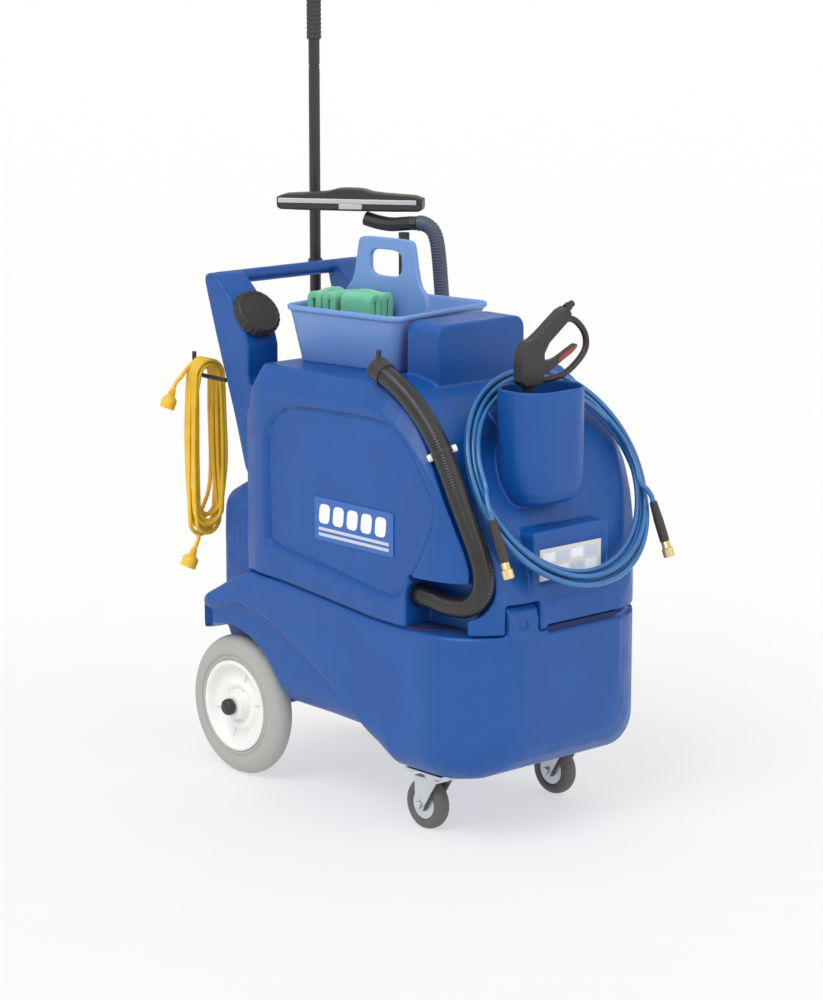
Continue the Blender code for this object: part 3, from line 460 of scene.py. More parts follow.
def camera_and_light():
    back = Vector((math.sin(VIEW_AZIMUTH) * math.cos(VIEW_ELEVATION),
                   -math.cos(VIEW_AZIMUTH) * math.cos(VIEW_ELEVATION), math.sin(VIEW_ELEVATION)))

    def linked(name, data, direction):
        obj = bpy.data.objects.new(name, data)
        obj.rotation_euler = direction.to_track_quat("Z", "Y").to_euler()
        bpy.context.scene.collection.objects.link(obj)
        return obj

    data = bpy.data.cameras.new("camera")
    data.lens, data.sensor_width = LENS, 36.0
    camera = linked("camera", data, back)
    camera.location = VIEW_TARGET + back * VIEW_DISTANCE
    bpy.context.scene.camera = camera

    world = bpy.data.worlds.new("studio")
    world.use_nodes = True
    wired(world.node_tree.nodes["Background"], Color=(1.0, 1.0, 1.0, 1.0), Strength=0.78)
    bpy.context.scene.world = world
    bpy.context.scene.view_settings.view_transform = "Standard"

    floor = box("floor", (-40, -40, -0.02), (40, 40, 0.0),
                surface("floor_white", (0.36, 0.355, 0.35, 1.0), 0.8, vary=0.01, rough_vary=0.02,
                        Emission_Color=(1.0, 1.0, 1.0, 1.0), Emission_Strength=0.54))

    for name, direction, strength, angle in (("key", (0.25, -1.0, 1.25), 1.25, 35),
                                             ("fill", (1.0, 0.25, 0.55), 0.55, 60)):
        data = bpy.data.lights.new(name, "SUN")
        data.energy, data.angle = strength, math.radians(angle)
        linked(name, data, Vector(direction))


# -------- cords

def coil_point(angle, radius, lift):
    """Point of the hose coil: angle in degrees from +Y, and lift in front of its plane."""
    normal = Vector((math.cos(COIL_LEAN), 0.0, math.sin(COIL_LEAN)))
    upward = Vector((-math.sin(COIL_LEAN), 0.0, math.cos(COIL_LEAN)))
    turn = math.radians(angle)
    return (COIL_CENTRE + radius * (math.cos(turn) * Vector((0, 1, 0)) + math.sin(turn) * upward)
            + lift * normal)


def eased(share):
    share = min(1.0, max(0.0, share))
    return share * share * (3 - 2 * share)


def pressure_hose():
    """Coil of five and a half turns, each in a lane of its own: (past the coil's radius, lift)."""
    lanes = [(-0.013, 0.0052), (0.015, 0.0052), (0.002, 0.0056), (-0.009, -0.0052), (0.01, -0.0052),
             (0.0005, -0.0052), (0.014, 0.0052)]
    first, last, step, merge, sag = 179.6, -14.8 - 360.0 * HOSE_TURNS, 12, 75, 0.28
    steps = int((first - last) / step)
    line = HOSE_END_A[::-1]
    for i in range(1, steps):
        angle = first + (last - first) * i / steps
        turns = (180.0 - angle) / 360.0
        lane = int(turns)
        part = eased((turns - lane - 0.3) / 0.4)
        (r0, h0), (r1, h1) = lanes[lane], lanes[lane + 1]
        low = max(0.0, -math.sin(math.radians(angle)))
        offset, lift = (r0 + (r1 - r0) * part) * (1 + sag * low), h0 + (h1 - h0) * part
        begun, ending = eased((first - angle) / merge), eased((angle - last) / merge)
        offset, lift = 0.001 + (offset - 0.001) * begun, 0.0176 + (lift - 0.0176) * begun
        offset, lift = -0.019 + (offset + 0.019) * ending, 0.0241 + (lift - 0.0241) * ending
        line.append(coil_point(angle, COIL_R + offset, lift))
    points = spline_points(line + HOSE_END_B, CORD_STEP)
    hose = loft("pressure_hose", tube_rings(points, lambda i: HOSE_R, CORD_SIDES), HOSE_BLUE, sharp=80)
    shown(hose, "cart", "blue_hose", "pressure_hose_coil", "pressure_hose_a", "pressure_hose_b")
    ends = []
    for name, route in (("a", HOSE_END_A), ("b", HOSE_END_B)):
        end, along = end_of(route, 0.012)
        sleeve = turned(f"hose_sleeve_{name}",
                        [(0.0, 0.0002), (0.0066, 0.0002), (0.0076, 0.004), (0.0088, 0.03),
                         (0.0094, 0.036), (0.0094, 0.074), (0.0088, 0.08), (0.0, 0.08)],
                        end, along, SLEEVE, 32)
        shown(sleeve, "cart", "dark_rubber")
        ridges = [(0.0, 0.0802)]
        for k in range(5):
            z = 0.0802 + 0.0026 * k
            ridges += [(0.0082, z), (0.009, z + 0.0013)]
        ridges += [(0.0082, 0.0935), (0.0108, 0.0945), (0.011, 0.096), (0.011, 0.1085), (0.0104, 0.111),
                   (0.007, 0.1115), (0.0062, 0.104), (0.0, 0.104)]
        coupler = turned(f"hose_coupler_{name}", ridges, end, along, BRASS, 36)
        shown(coupler, "cart", "brass", f"hose_fitting_{name}")
        ends += [sleeve, coupler]


def extension_cord():
    """Hank of ten loops over the hook, with the plug on a short lead and the socket below."""
    rng = random.Random(7)
    lanes, spacing = 5, 0.0086
    line = [*PLUG_LEAD[:1:-1], (-0.4055, -0.241, 0.8118), (-0.41, -0.227, 0.8195),
            (-0.4145, -0.211, 0.8275)]

    def top_of(loop):
        layer = loop // lanes
        return 0.0346 - 0.0082 * layer, HANK_TOP_Z - 0.0045 - 0.0088 * layer

    def on_circle(x, centre_y, centre_z, radius, angle):
        turn = math.radians(angle)
        return x, centre_y + radius * math.cos(turn), centre_z + radius * math.sin(turn)

    def straight(x, belly):
        """The two points of a side of the hank, from its top down."""
        return [(x, HANK_Y + belly * 0.94, middle_z + 0.065), (x, HANK_Y + belly, middle_z - 0.045)]

    for loop in range(2 * lanes):
        layer, lane = divmod(loop, lanes)
        way = -1 if layer else 1
        x = HANK_X + (lane - 2) * spacing * way
        next_x = x if lane == lanes - 1 else x + spacing * way
        top_r, top_z = top_of(loop)
        low_z = HANK_LOW_Z + 0.006 + rng.uniform(0.0, 0.045) + 0.01 * layer
        low_r = 0.033 - 0.0072 * layer + rng.uniform(-0.0005, 0.003)
        drift = rng.uniform(-0.008, 0.004)
        bellies = [rng.uniform(0.038, 0.0435) - 0.022 * layer * rng.uniform(0.3, 1.0) for _ in range(2)]
        middle_z = (top_z + low_z) / 2 + rng.uniform(-0.03, 0.03)
        line += [on_circle(x, HANK_Y, top_z - top_r, top_r, angle) for angle in (90, 60, 30, 0)]
        line += straight(x, bellies[0])
        if loop == 2 * lanes - 1:
            line += [(x - 0.002, HANK_Y + 0.022, 0.56), (x, HANK_Y - 0.004, 0.508), *SOCKET_LEAD]
            break
        line += [on_circle(x + (next_x - x) * (-angle / 180), HANK_Y + drift, low_z + low_r, low_r, angle)
                 for angle in range(0, -181, -30)]
        line += straight(next_x, -bellies[1])[::-1]
        top_r, top_z = top_of(loop + 1)
        line += [on_circle(next_x, HANK_Y, top_z - top_r, top_r, angle) for angle in (180, 150, 120)]
    points = spline_points(line, CORD_STEP)
    cord = loft("extension_cord", tube_rings(points, lambda i: CORD_R, CORD_SIDES), YELLOW, sharp=80)
    shown(cord, "cart", "yellow_cord", "cord_hank", "cord_lead_plug", "cord_lead_socket")
    for name, lead, wide in (("plug", PLUG_LEAD, 0.015), ("socket", SOCKET_LEAD, 0.0165)):
        end, along = end_of(lead, 0.01)
        profile = [(0.0, 0.0004), (0.0058, 0.0004)]
        for k in range(4):
            profile += [(0.0066 + 0.0005 * k, 0.002 + 0.003 * k), (0.0054 + 0.0005 * k, 0.0035 + 0.003 * k)]
        profile += [(0.009, 0.015), (wide - 0.0015, 0.02), (wide, 0.022), (wide, 0.04),
                    (wide - 0.0012, 0.0416), (0.0, 0.0416)]
        shown(turned(f"cord_{name}_body", profile, end, along, YELLOW, 40), "cart",
                          "yellow_cord", f"cord_{name}")


# -------- moulded bodies

def stations(low_table, high_table, rear_x, rear_half_width, outline, last_x):
    """Rings across X, close together; outline(half_width, low, high) gives the shape of each."""
    xs = sorted({x for x, _ in low_table} | {x for x, _ in high_table}
                | {rear_x + (FRONT_X - rear_x) * i / 60 for i in range(61)})
    rings = []
    for x in xs:
        if x < rear_x or x > last_x:
            continue
        rings.append([(x, y, z) for y, z in outline(plan_half_width(x, rear_x, rear_half_width),
                                                    level_at(low_table, x), level_at(high_table, x))])
    return rings


def sweep_side(body):
    """Presses the rear lower part of the side faces in, along a line that sweeps down to the front."""
    sweep = [(-0.34, 0.345), (-0.24, 0.372), (-0.15, 0.352), (-0.05, 0.312), (0.05, 0.255),
             (0.12, 0.205), (0.175, 0.16), (0.22, 0.12)]
    rear_x, front_x, side_y, depth = -0.36, 0.24, 0.165, 0.019
    for vertex in body.data.vertices:
        x, y, z = vertex.co
        if abs(y) < side_y or x < rear_x or x > front_x:
            continue
        below = level_at(sweep, x) - z
        share = eased((below + 0.008) / 0.026)
        reach = min(1.0, (front_x - x) / 0.1)
        vertex.co.y = y - math.copysign(depth * share * reach, y)


def press_slot(body, low, high, depth=0.009):
    """Presses the front face in, round its corner, to leave a slot beside the tank joint."""
    for vertex in body.data.vertices:
        x, y, z = vertex.co
        if not low < z < high or y < -0.062 or x < 0.33:
            continue
        out = Vector((x - FRONT_X + CORNER_R, y - max(-0.1, min(0.1, y)), 0.0))
        if out.length > CORNER_R - 0.013:
            vertex.co -= out.normalized() * depth


def press_groove(body, outline, width, depth):
    """Presses a groove into both side faces along an outline in (x, z)."""
    points = spline_points([(x, 0.0, z) for x, z in [*outline, outline[0]]], 0.0015)
    tree = KDTree(len(points))
    for i, point in enumerate(points):
        tree.insert(point, i)
    tree.balance()
    for vertex in body.data.vertices:
        x, y, z = vertex.co
        if abs(y) < 0.236:
            continue
        share = tree.find((x, 0.0, z))[2] / width
        if share < 1.0:
            vertex.co.y = y - math.copysign(depth * (1.0 - share * share), y)


def base_shell():
    rings = stations(FLOOR, SEAM, -0.39, 0.195,
                     lambda half, low, high: rounded_rectangle(half, low, high, 0.058, 0.01), 0.4545)
    rings.append([(FRONT_X - 0.0003, y, 0.235 + (z - FLOOR_Z) / 0.287 * 0.17)
                  for _, y, z in rings[-1]])
    body = loft("base_solid", rings)
    outline = [(0.4, 0.385), (0.4515, 0.385), (0.4515, 0.452), (0.438, 0.4665), (0.4, 0.4665)]
    lug = prism("lug", smooth_outline(outline, 1), "Y", -0.157, -0.083)
    axle_block = box("axle_block", (WHEEL_X - 0.022, -0.15, 0.128), (WHEEL_X + 0.022, 0.15, 0.2))
    cutters = []
    for side in (-1, 1):
        near, far = sorted((side * ARCH_INNER_Y, side * 0.3))
        cutters.append(rod("arch", (WHEEL_X, near, WHEEL_R), (WHEEL_X, far, WHEEL_R), ARCH_R, sides=96))
        cutters.append(box("arch_low", (WHEEL_X - ARCH_R, near, 0.02), (WHEEL_X + ARCH_R, far, WHEEL_R)))
    cutters.append(rod("bore", (WHEEL_X, -0.3, WHEEL_R), (WHEEL_X, 0.3, WHEEL_R), 0.0106, sides=32))
    body = moulded("base_shell", body, [lug, axle_block], cutters, BLUE)
    sweep_side(body)
    press_slot(body, 0.404, 0.42)
    shown(body, "cart", "blue_plastic", "base_tank")
    bolt = turned("lug_bolt", [(0.0, 0.0), (0.0125, 0.0), (0.0125, 0.0015), (0.01, 0.003),
                               (0.0085, 0.003), (0.008, 0.0012), (0.0, 0.0012)],
                  (0.4506, -0.12, 0.43), (1, 0, 0), BLUE, 32)
    shown(bolt, "cart", "blue_plastic")


def cup_solid(name, levels):
    rings = []
    for z, inset in levels:
        outline = rounded_outline(CUP_HALF_X - inset, CUP_HALF_Y - inset, max(0.015, CUP_CORNER - inset))
        rings.append([(CUP_X + x, CUP_Y + y, z) for x, y in outline])
    return loft(name, rings)


def channel_tube(name, extra):
    route = [(0.18, -0.226, 0.885), *DRAIN_ROUTE[::-1][1:-1], (0.262, -0.214, 0.47)]
    return loft(name, tube_rings(spline_points(route, 0.012), lambda i: DRAIN_R + extra, 20))


def recovery_shell():
    lower = [(x, z + 0.0022) for x, z in SEAM]
    rings = stations(lower, CREST, TANK_REAR_X, 0.236,
                     lambda half, low, high: chamfered_rectangle(half, low, high, 0.008, 0.028, 0.046),
                     0.4545)
    body = loft("tank_solid", rings)
    tower = prism("tower", rounded_rectangle(0.113, 0.7, 0.9595, 0.005, 0.024), "X", 0.118, 0.205)
    saddle = prism("saddle", rounded_rectangle(0.05, 0.7, 0.826, 0.005, 0.035), "X", 0.2, 0.38)
    bench = prism("bench", rounded_rectangle(0.098, 0.44, 0.6, 0.005, 0.012), "X", 0.36, 0.4515)
    cup = cup_solid("cup_outside", [(0.64, 0.034), (0.643, 0.024), (0.65, 0.014), (0.668, 0.005),
                                    (0.69, 0.001), (0.71, 0.0), (CUP_TOP_Z, 0.0)])
    inside = cup_solid("cup_inside", [(0.672, 0.028), (0.682, 0.013), (0.712, CUP_WALL),
                                      (0.902, CUP_WALL)])
    recess = smooth_outline([(-0.142, 0.515), (-0.125, 0.505), (0.02, 0.486), (0.18, 0.462),
                             (0.238, 0.46), (0.3, 0.54), (0.345, 0.64), (0.318, 0.69), (0.27, 0.755),
                             (0.215, 0.798), (-0.142, 0.786)], 2)
    cutters = [inside]
    for side in (-1, 1):
        near, far = sorted((side * 0.27, side * 0.2428))
        cutters.append(prism("panel_recess", recess, "Y", near, far))
    label = rounded_rectangle(0.085, 0.5, 0.57, 0.006, 0.006)
    lid_cuts = [box("lid_well", (-0.1302, -0.1203, 0.837), (0.1001, 0.1202, 0.9003)),
                box("lid_mouth", (-0.118, -0.1083, 0.8), (0.088, 0.1082, 0.8603)),
                box("dirty_space", (-0.185, -0.205, 0.465), (0.22, 0.205, 0.82))]
    cutters += [box("lug_notch", (0.3975, -0.16, 0.39), (0.47, -0.08, 0.469)),
                channel_tube("drain_channel", 0.0065),
                box("drain_niche", (0.2645, -0.27, 0.4), (0.4, -0.185, 0.512)),
                prism("label_recess", label, "X", 0.448, 0.47), *lid_cuts]
    body = moulded("recovery_shell", body, [tower, saddle, bench, cup], cutters, BLUE, voxel=0.0026,
                   passes=4)
    press_slot(body, 0.4, 0.42)
    press_groove(body, recess, 0.006, 0.004)
    shown(body, "cart", "blue_plastic", "recovery_tank")


def seam_trim():
    """Dark shadow line of the joint between the two tanks, set in behind both faces."""
    rings = []
    for x, z in SEAM[2:]:
        half = 0.182 if x <= TANK_REAR_X else plan_half_width(x, TANK_REAR_X, 0.236) - 0.007
        rings.append([(x - 0.004, y, q) for y, q in rectangle(-half, z - 0.004, half, z + 0.005)])
    # the strip is painted shadow of the seam, not a rubber seal
    shown(loft("tank_seam_painted_shadow", rings, PAINTED_SEAM_SHADOW), "cart", "dark_rubber")


def motor_cover():
    rows = [(x, z) for x, z in SEAM if -0.375 <= x <= TANK_REAR_X]
    crest = {-0.375: 0.5, -0.345: 0.575, -0.3: 0.598, -0.25: 0.602, TANK_REAR_X: 0.602}
    width = {-0.375: 0.165, -0.345: 0.187, -0.3: 0.19, -0.25: 0.19, TANK_REAR_X: 0.19}
    rings = [[(min(x, TANK_REAR_X - 0.001), y, q) for y, q in
              rounded_rectangle(width[x], z + 0.002, crest[x], 0.008, 0.035)] for x, z in rows]
    body = loft("cover_solid", rings)
    vents = [box("vent", (-0.345 + 0.016 * k, -0.25, 0.47), (-0.339 + 0.016 * k, -0.184, 0.545))
             for k in range(6)]
    shown(moulded("motor_cover_shell", body, [], vents, BLUE), "cart", "blue_plastic", "motor_cover")


def handle_shell():
    profile = smooth_outline([(-0.2163, 0.612), (-0.2163, 0.785), (-0.255, 0.8), (-0.255, 0.89),
                              (-0.312, 0.968), (-0.345, 0.996), (-0.362, 1.008), (-0.378, 1.011),
                              (-0.389, 1.004), (-0.389, 0.99), (-0.35, 0.872), (-0.298, 0.73),
                              (-0.262, 0.612)], 1)
    right = prism("right_post", profile, "Y", -POST_OUTER_Y, -POST_INNER_Y)
    left = prism("left_post", profile, "Y", POST_INNER_Y, POST_OUTER_Y)
    bar = rod("handle_bar", (BAR_X, -0.18, BAR_Z), (BAR_X, 0.18, BAR_Z), BAR_R, sides=48)
    shown(moulded("handle_shell", right, [bar, left], [], BLUE, voxel=0.0026, passes=6), "cart",
          "blue_plastic", "handle_frame")


# -------- wheels

def tyre_profile(wall, centre_r, rise, half_width, angles):
    """Turned profile of a tyre: a side wall, the tread as part of an ellipse, the other wall."""
    tread = [(centre_r + rise * math.cos(math.radians(a)), half_width * math.sin(math.radians(a)))
             for a in angles]
    return wall + tread + [(q, -h) for q, h in wall[::-1]]


def wheels():
    wall = [(0.0932, -0.0205), (0.0965, -0.0218), (0.1, -0.0222), (0.1015, -0.0208), (0.1035, -0.0208),
            (0.105, -0.0232), (0.112, -0.024), (0.122, -0.0236)]
    tyre = tyre_profile(wall, 0.1185, 0.024, 0.0225, range(-72, 73, 12))
    hub = [(0.0104, -0.03), (0.026, -0.03), (0.028, -0.01), (0.07, -0.01), (0.076, -0.024),
           (0.0926, -0.024), (0.0926, 0.0235), (0.0905, 0.0252), (0.087, 0.0254), (0.0845, 0.024),
           (0.081, 0.02), (0.078, 0.013), (0.074, 0.0085), (0.07, 0.0068), (0.06, 0.006),
           (0.054, 0.0075), (0.05, 0.012), (0.048, 0.0135), (0.042, 0.014), (0.038, 0.0125),
           (0.035, 0.008), (0.033, 0.008), (0.03, 0.011), (0.0285, 0.02), (0.027, 0.0265),
           (0.025, 0.028), (0.0104, 0.028)]
    cap = [(0.0, 0.0), (0.0165, 0.0), (0.017, 0.0015), (0.0168, 0.0075), (0.015, 0.012),
           (0.0115, 0.015), (0.008, 0.016), (0.0, 0.0163)]
    for name, side in (("right", -1), ("left", 1)):
        centre, axis, body = (WHEEL_X, side * WHEEL_Y, WHEEL_R), (0, side, 0), f"wheel_{name}"
        shown(turned(f"tyre_{name}", tyre, centre, axis, TYRE, 128), body, "grey_rubber",
              f"wheel_tyre_{name}")
        disc = turned(f"hub_{name}", hub, centre, axis, HUB, 96)
        ribs = []
        for k in range(6):
            angle = math.radians(60 * k + 12)
            rib = box("rib", (0.026, -0.0022, 0.0), (0.078, 0.0022, 0.0115))
            lay = Matrix.Rotation(-side * math.pi / 2, 4, "X") @ Matrix.Rotation(angle, 4, "Z")
            rib.data.transform(Matrix.Translation(centre) @ lay)
            ribs.append(rib)
        combined(disc, ribs)
        disc.data.set_sharp_from_angle(angle=math.radians(40))
        shown(disc, body, "white_plastic", f"wheel_hub_{name}")
        place = (WHEEL_X, side * 0.2297, WHEEL_R)
        shown(turned(f"axle_cap_{name}", cap, place, axis, BLACK, 24), body, "black_plastic",
              f"wheel_cap_{name}")


def casters():
    for name in ("right", "left"):
        low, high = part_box(f"caster_wheel_{name}")
        centre = (low + high) / 2
        half, r = (high.y - low.y) / 2 - 0.002, (high.z - low.z) / 2
        wall = [(0.0047, -half - 0.002), (0.011, -half - 0.002), (0.0125, -half + 0.001),
                (0.014, -half + 0.004), (0.03, -half + 0.004), (0.032, -half + 0.002), (0.0345, -half),
                (0.042, -half)]
        profile = tyre_profile(wall, r - 0.0075, 0.0075, 0.0145, range(-80, 81, 20))
        wheel = turned(f"caster_roller_{name}", profile, centre, (0, 1, 0), CASTER_TYRE, 64)
        shown(wheel, f"caster_{name}_roller", "grey_rubber", f"caster_wheel_{name}")
        washer = rectangle(0.0142, -half + 0.0032, 0.029, -half + 0.0042)
        shown(turned(f"caster_hub_{name}", washer, centre, (0, 1, 0), ZINC, 48),
              f"caster_{name}_roller", "zinc_steel")
        low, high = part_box(f"caster_plate_{name}")
        inset, bolt = 0.01, [(0.0, 0.0), (0.006, 0.0), (0.006, 0.0036), (0.005, 0.0044), (0.0, 0.0044)]
        for row, y in enumerate((low.y + inset, high.y - inset)):
            for column, x in enumerate((low.x + inset, high.x - inset)):
                head = turned(f"plate_bolt_{name}_{2 * row + column}", bolt, (x, y, low.z), (0, 0, -1),
                              ZINC, 6)
                shown(head, "cart", "zinc_steel")


# -------- small pieces

def finished(node, material, width=None):
    """Gives a carried-over CAD node its detailed material, and rounds its edges to a given width."""
    obj = NODES[node]
    if width is not None:
        rounded_edges(obj, width)
    obj.data.materials.clear()
    obj.data.materials.append(material)
    obj.data.shade_smooth()
    obj.data.set_sharp_from_angle(angle=math.radians(38))


def fill_cap():
    centre, axis = Vector((-0.2831, -0.16, 0.9293)), Vector((0.078, 0.0, 0.057)).normalized()
    steps, grips = 144, 24
    profile = [(0.044, 0.0005), (0.047, 0.001), (0.0488, 0.003), (0.0492, 0.005), (0.0492, 0.017),
               (0.0484, 0.02), (0.0462, 0.0225), (0.043, 0.024), (0.0395, 0.0238), (0.038, 0.0226),
               (0.02, 0.0232), (0.012, 0.0234)]
    turn = Vector((0, 0, 1)).rotation_difference(axis).to_matrix()
    rings = []
    for k, (radius, height) in enumerate(profile):
        grip = 0.0011 if 2 <= k <= 5 else 0.0
        ring = []
        for a in full_turn(steps):
            reach = radius + grip * math.copysign(0.5, math.cos(grips * a))
            ring.append(centre + turn @ Vector((reach * math.cos(a), reach * math.sin(a), height)))
        rings.append(ring)
    shown(loft("fill_cap_ribbed", rings, CAP_DARK), "cap", "black_plastic", "fill_cap")


def drain_pieces():
    shown(ribbed_tube("drain_hose_ribbed", DRAIN_ROUTE, DRAIN_R, HOSE_DARK), "cart", "dark_rubber",
          "drain_hose")
    end, along = end_of(DRAIN_ROUTE, 0.03)
    plug = turned("plug_solid", [(0.0, 0.0004), (0.0212, 0.0004), (0.0232, 0.0015), (0.0234, 0.0075),
                                 (0.022, 0.0095), (0.0, 0.01)], end, along, None, 48)
    root = end + along * 0.0055
    tab = rod("tab", root, root + Vector((0.003, 0, 0.0355)), 0.005, sides=20)
    collar = turned("collar", [(0.021, -0.022), (0.0232, -0.021), (0.0232, 0.0), (0.021, 0.0)],
                    end, along, BLACK, 48)
    shown(collar, "cart", "black_plastic")
    shown(moulded("drain_plug_tab", plug, [tab], [], BLACK, voxel=0.001, passes=3), "cart",
          "black_plastic", "drain_plug")
    fine = spline_points(DRAIN_ROUTE, 0.004)
    near = min(range(len(fine)), key=lambda i: abs(fine[i].z - CLIP_Z))
    place, way = fine[near], (fine[near + 2] - fine[near - 2]).normalized()
    band = turned("hose_clip_band", rectangle(DRAIN_R + 0.0003, -0.0035, DRAIN_R + 0.0014, 0.0035),
                  place, way, BLACK, 48)
    shown(band, "cart", "black_plastic", "hose_clip")
    across = way.cross(Vector((math.sin(VIEW_AZIMUTH), -math.cos(VIEW_AZIMUTH), 0.2))).normalized()
    for name, side in (("front", 1), ("rear", -1)):
        centre = place + across * side * (DRAIN_R + 0.0035)
        rivet = turned(f"clip_rivet_{name}", [(0.0, -0.005), (0.0062, -0.005), (0.007, -0.003),
                                              (0.007, 0.003), (0.0055, 0.005), (0.0, 0.0055)],
                       centre, across * side, WHITE, 24)
        shown(rivet, "cart", "white_plastic")
    finished("drain_outlet", HOSE_DARK)


def plates():
    """Side plate and front label, with plain raised marks on them."""
    film, raised, margin = 0.0002, 0.0005, 0.012
    low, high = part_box("side_plate")
    y, width = low.y, high.x - low.x
    plate = prism("side_plate_film", rectangle(low.x, low.z, high.x, high.z), "Y", y, high.y, PLATE)
    shown(plate, "cart", "white_plastic", "side_plate")
    top, mid = high.z - margin, low.z + 0.034
    for k in range(5):
        left = low.x + margin + k * (width - 2 * margin) / 5
        right = left + (width - 2 * margin) / 5 - 0.01
        block = smooth_outline([(left, mid), (right, mid), (right + 0.004, top), (left + 0.004, top)], 2)
        shown(prism(f"mark_block_{k}", block, "Y", y - raised, y + film, MARK), "cart", "white_plastic")
    for k in range(2):
        z = low.z + 0.009 + 0.011 * k
        stripe = rectangle(low.x + margin, z, high.x - margin, z + 0.006)
        shown(prism(f"mark_line_{k}", stripe, "Y", y - raised, y + film, MARK_SOFT), "cart",
              "white_plastic")
    low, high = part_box("front_label")
    sheet = prism("front_label_film", rectangle(low.y, low.z, high.y, high.z), "X", low.x, high.x, PAPER)
    shown(sheet, "cart", "white_plastic", "front_label")
    for row in range(2):
        for column in range(4):
            a, c = low.y + 0.008 + column * 0.037, low.z + 0.007 + row * 0.026
            patch = prism(f"label_patch_{row}_{column}", rectangle(a, c, a + 0.03, c + 0.018), "X",
                          high.x - 0.0001, high.x + 0.0004, MARK if (row + column) % 2 else MARK_SOFT)
            shown(patch, "cart", "white_plastic")


def gun():
    x, half = 0.385, 0.0125
    outline = [(-0.078, 0.862), (-0.026, 0.862), (-0.02, 0.874), (-0.02, 0.93), (0.052, 0.982),
               (0.04, 1.006), (-0.04, 0.95), (-0.066, 0.944), (-0.078, 0.92)]
    grip = prism("grip", smooth_outline(outline, 1), "X", x - half, x + half)
    guard_route = [(x, y, z) for y, z in (
        (0.034, 0.977), (0.066, 0.974), (0.094, 0.948), (0.098, 0.918), (0.074, 0.892),
        (0.036, 0.873), (-0.022, 0.868))]
    guard = loft("guard", tube_rings(spline_points(guard_route, 0.006), lambda i: 0.0064, 16))
    lance = rod("lance", (x, -0.052, 0.88), (x, -0.046, 0.74), 0.011, sides=32)
    slot = box("slot", (x - 0.0072, -0.032, 0.874), (x + 0.0072, 0.0, 0.912))
    body = moulded("gun_shell", grip, [guard, lance], [slot], BLACK, voxel=0.0012, passes=6)
    shown(body, "gun", "black_plastic", "gun_body")
    lever = [(-0.03, 0.886), (-0.012, 0.877), (0.02, 0.895), (0.06, 0.914), (0.072, 0.924),
             (0.069, 0.93), (0.055, 0.924), (0.015, 0.906), (-0.015, 0.904), (-0.03, 0.9)]
    pad = [(0.021, 0.8975), (0.059, 0.9155), (0.0705, 0.9245), (0.069, 0.9292), (0.055, 0.923),
           (0.021, 0.9075)]
    for name, outline, reach, material, stands_for in (
            ("trigger_lever", lever, 0.006, BLACK, ["gun_trigger"]),
            ("trigger_pad", pad, 0.0068, RED, [])):
        piece = prism(name, smooth_outline(outline, 2), "X", x - reach, x + reach, material)
        rounded_edges(piece, 0.001)
        shown(piece, "trigger", "red_plastic", *stands_for)


def caddy():
    base_z = DECK_Z + 0.0004

    def ring(half, radius, z):
        return [CADDY_PLACE @ Vector((px, py, z)) for px, py in rounded_outline(half, half, radius, 6)]

    base, half, top = CADDY_BASE_HALF, CADDY_HALF, CADDY_TOP_Z
    levels = [(base - 0.003, 0.016, base_z), (base, 0.018, base_z + 0.004),
              (half - 0.0015, 0.022, top - 0.016), (half, 0.022, top - 0.012),
              (half + 0.004, 0.025, top - 0.01), (half + 0.005, 0.026, top - 0.008),
              (half + 0.005, 0.026, top - 0.002), (half + 0.003, 0.025, top),
              (half - 0.0005, 0.021, top - 0.001), (half - 0.003, 0.02, top - 0.006),
              (base - 0.003, 0.016, base_z + 0.012), (base - 0.01, 0.012, base_z + 0.005)]
    tray = loft("caddy_tray", [ring(*level) for level in levels], CADDY_BLUE, sharp=50)
    shown(tray, "caddy", "light_blue_plastic", "caddy")
    edge = [(0.112, base_z + 0.006), (0.1045, 0.985), (0.082, 1.01), (0.07, 1.085), (0.062, 1.095)]
    outline = [(-edge[0][0], edge[0][1]), *edge, *[(-x, z) for x, z in edge[:0:-1]]]
    plate = prism("plate", smooth_outline(outline, 2), "Y", -0.006, 0.006)
    hole = prism("hole", smooth_outline(rectangle(-0.04, 1.02, 0.04, 1.072), 2), "Y", -0.03, 0.03)
    for piece in (plate, hole):
        piece.data.transform(CADDY_PLACE)
    body = moulded("caddy_handle_plate", plate, [], [hole], CADDY_BLUE, voxel=0.0018, passes=4)
    shown(body, "caddy", "light_blue_plastic")


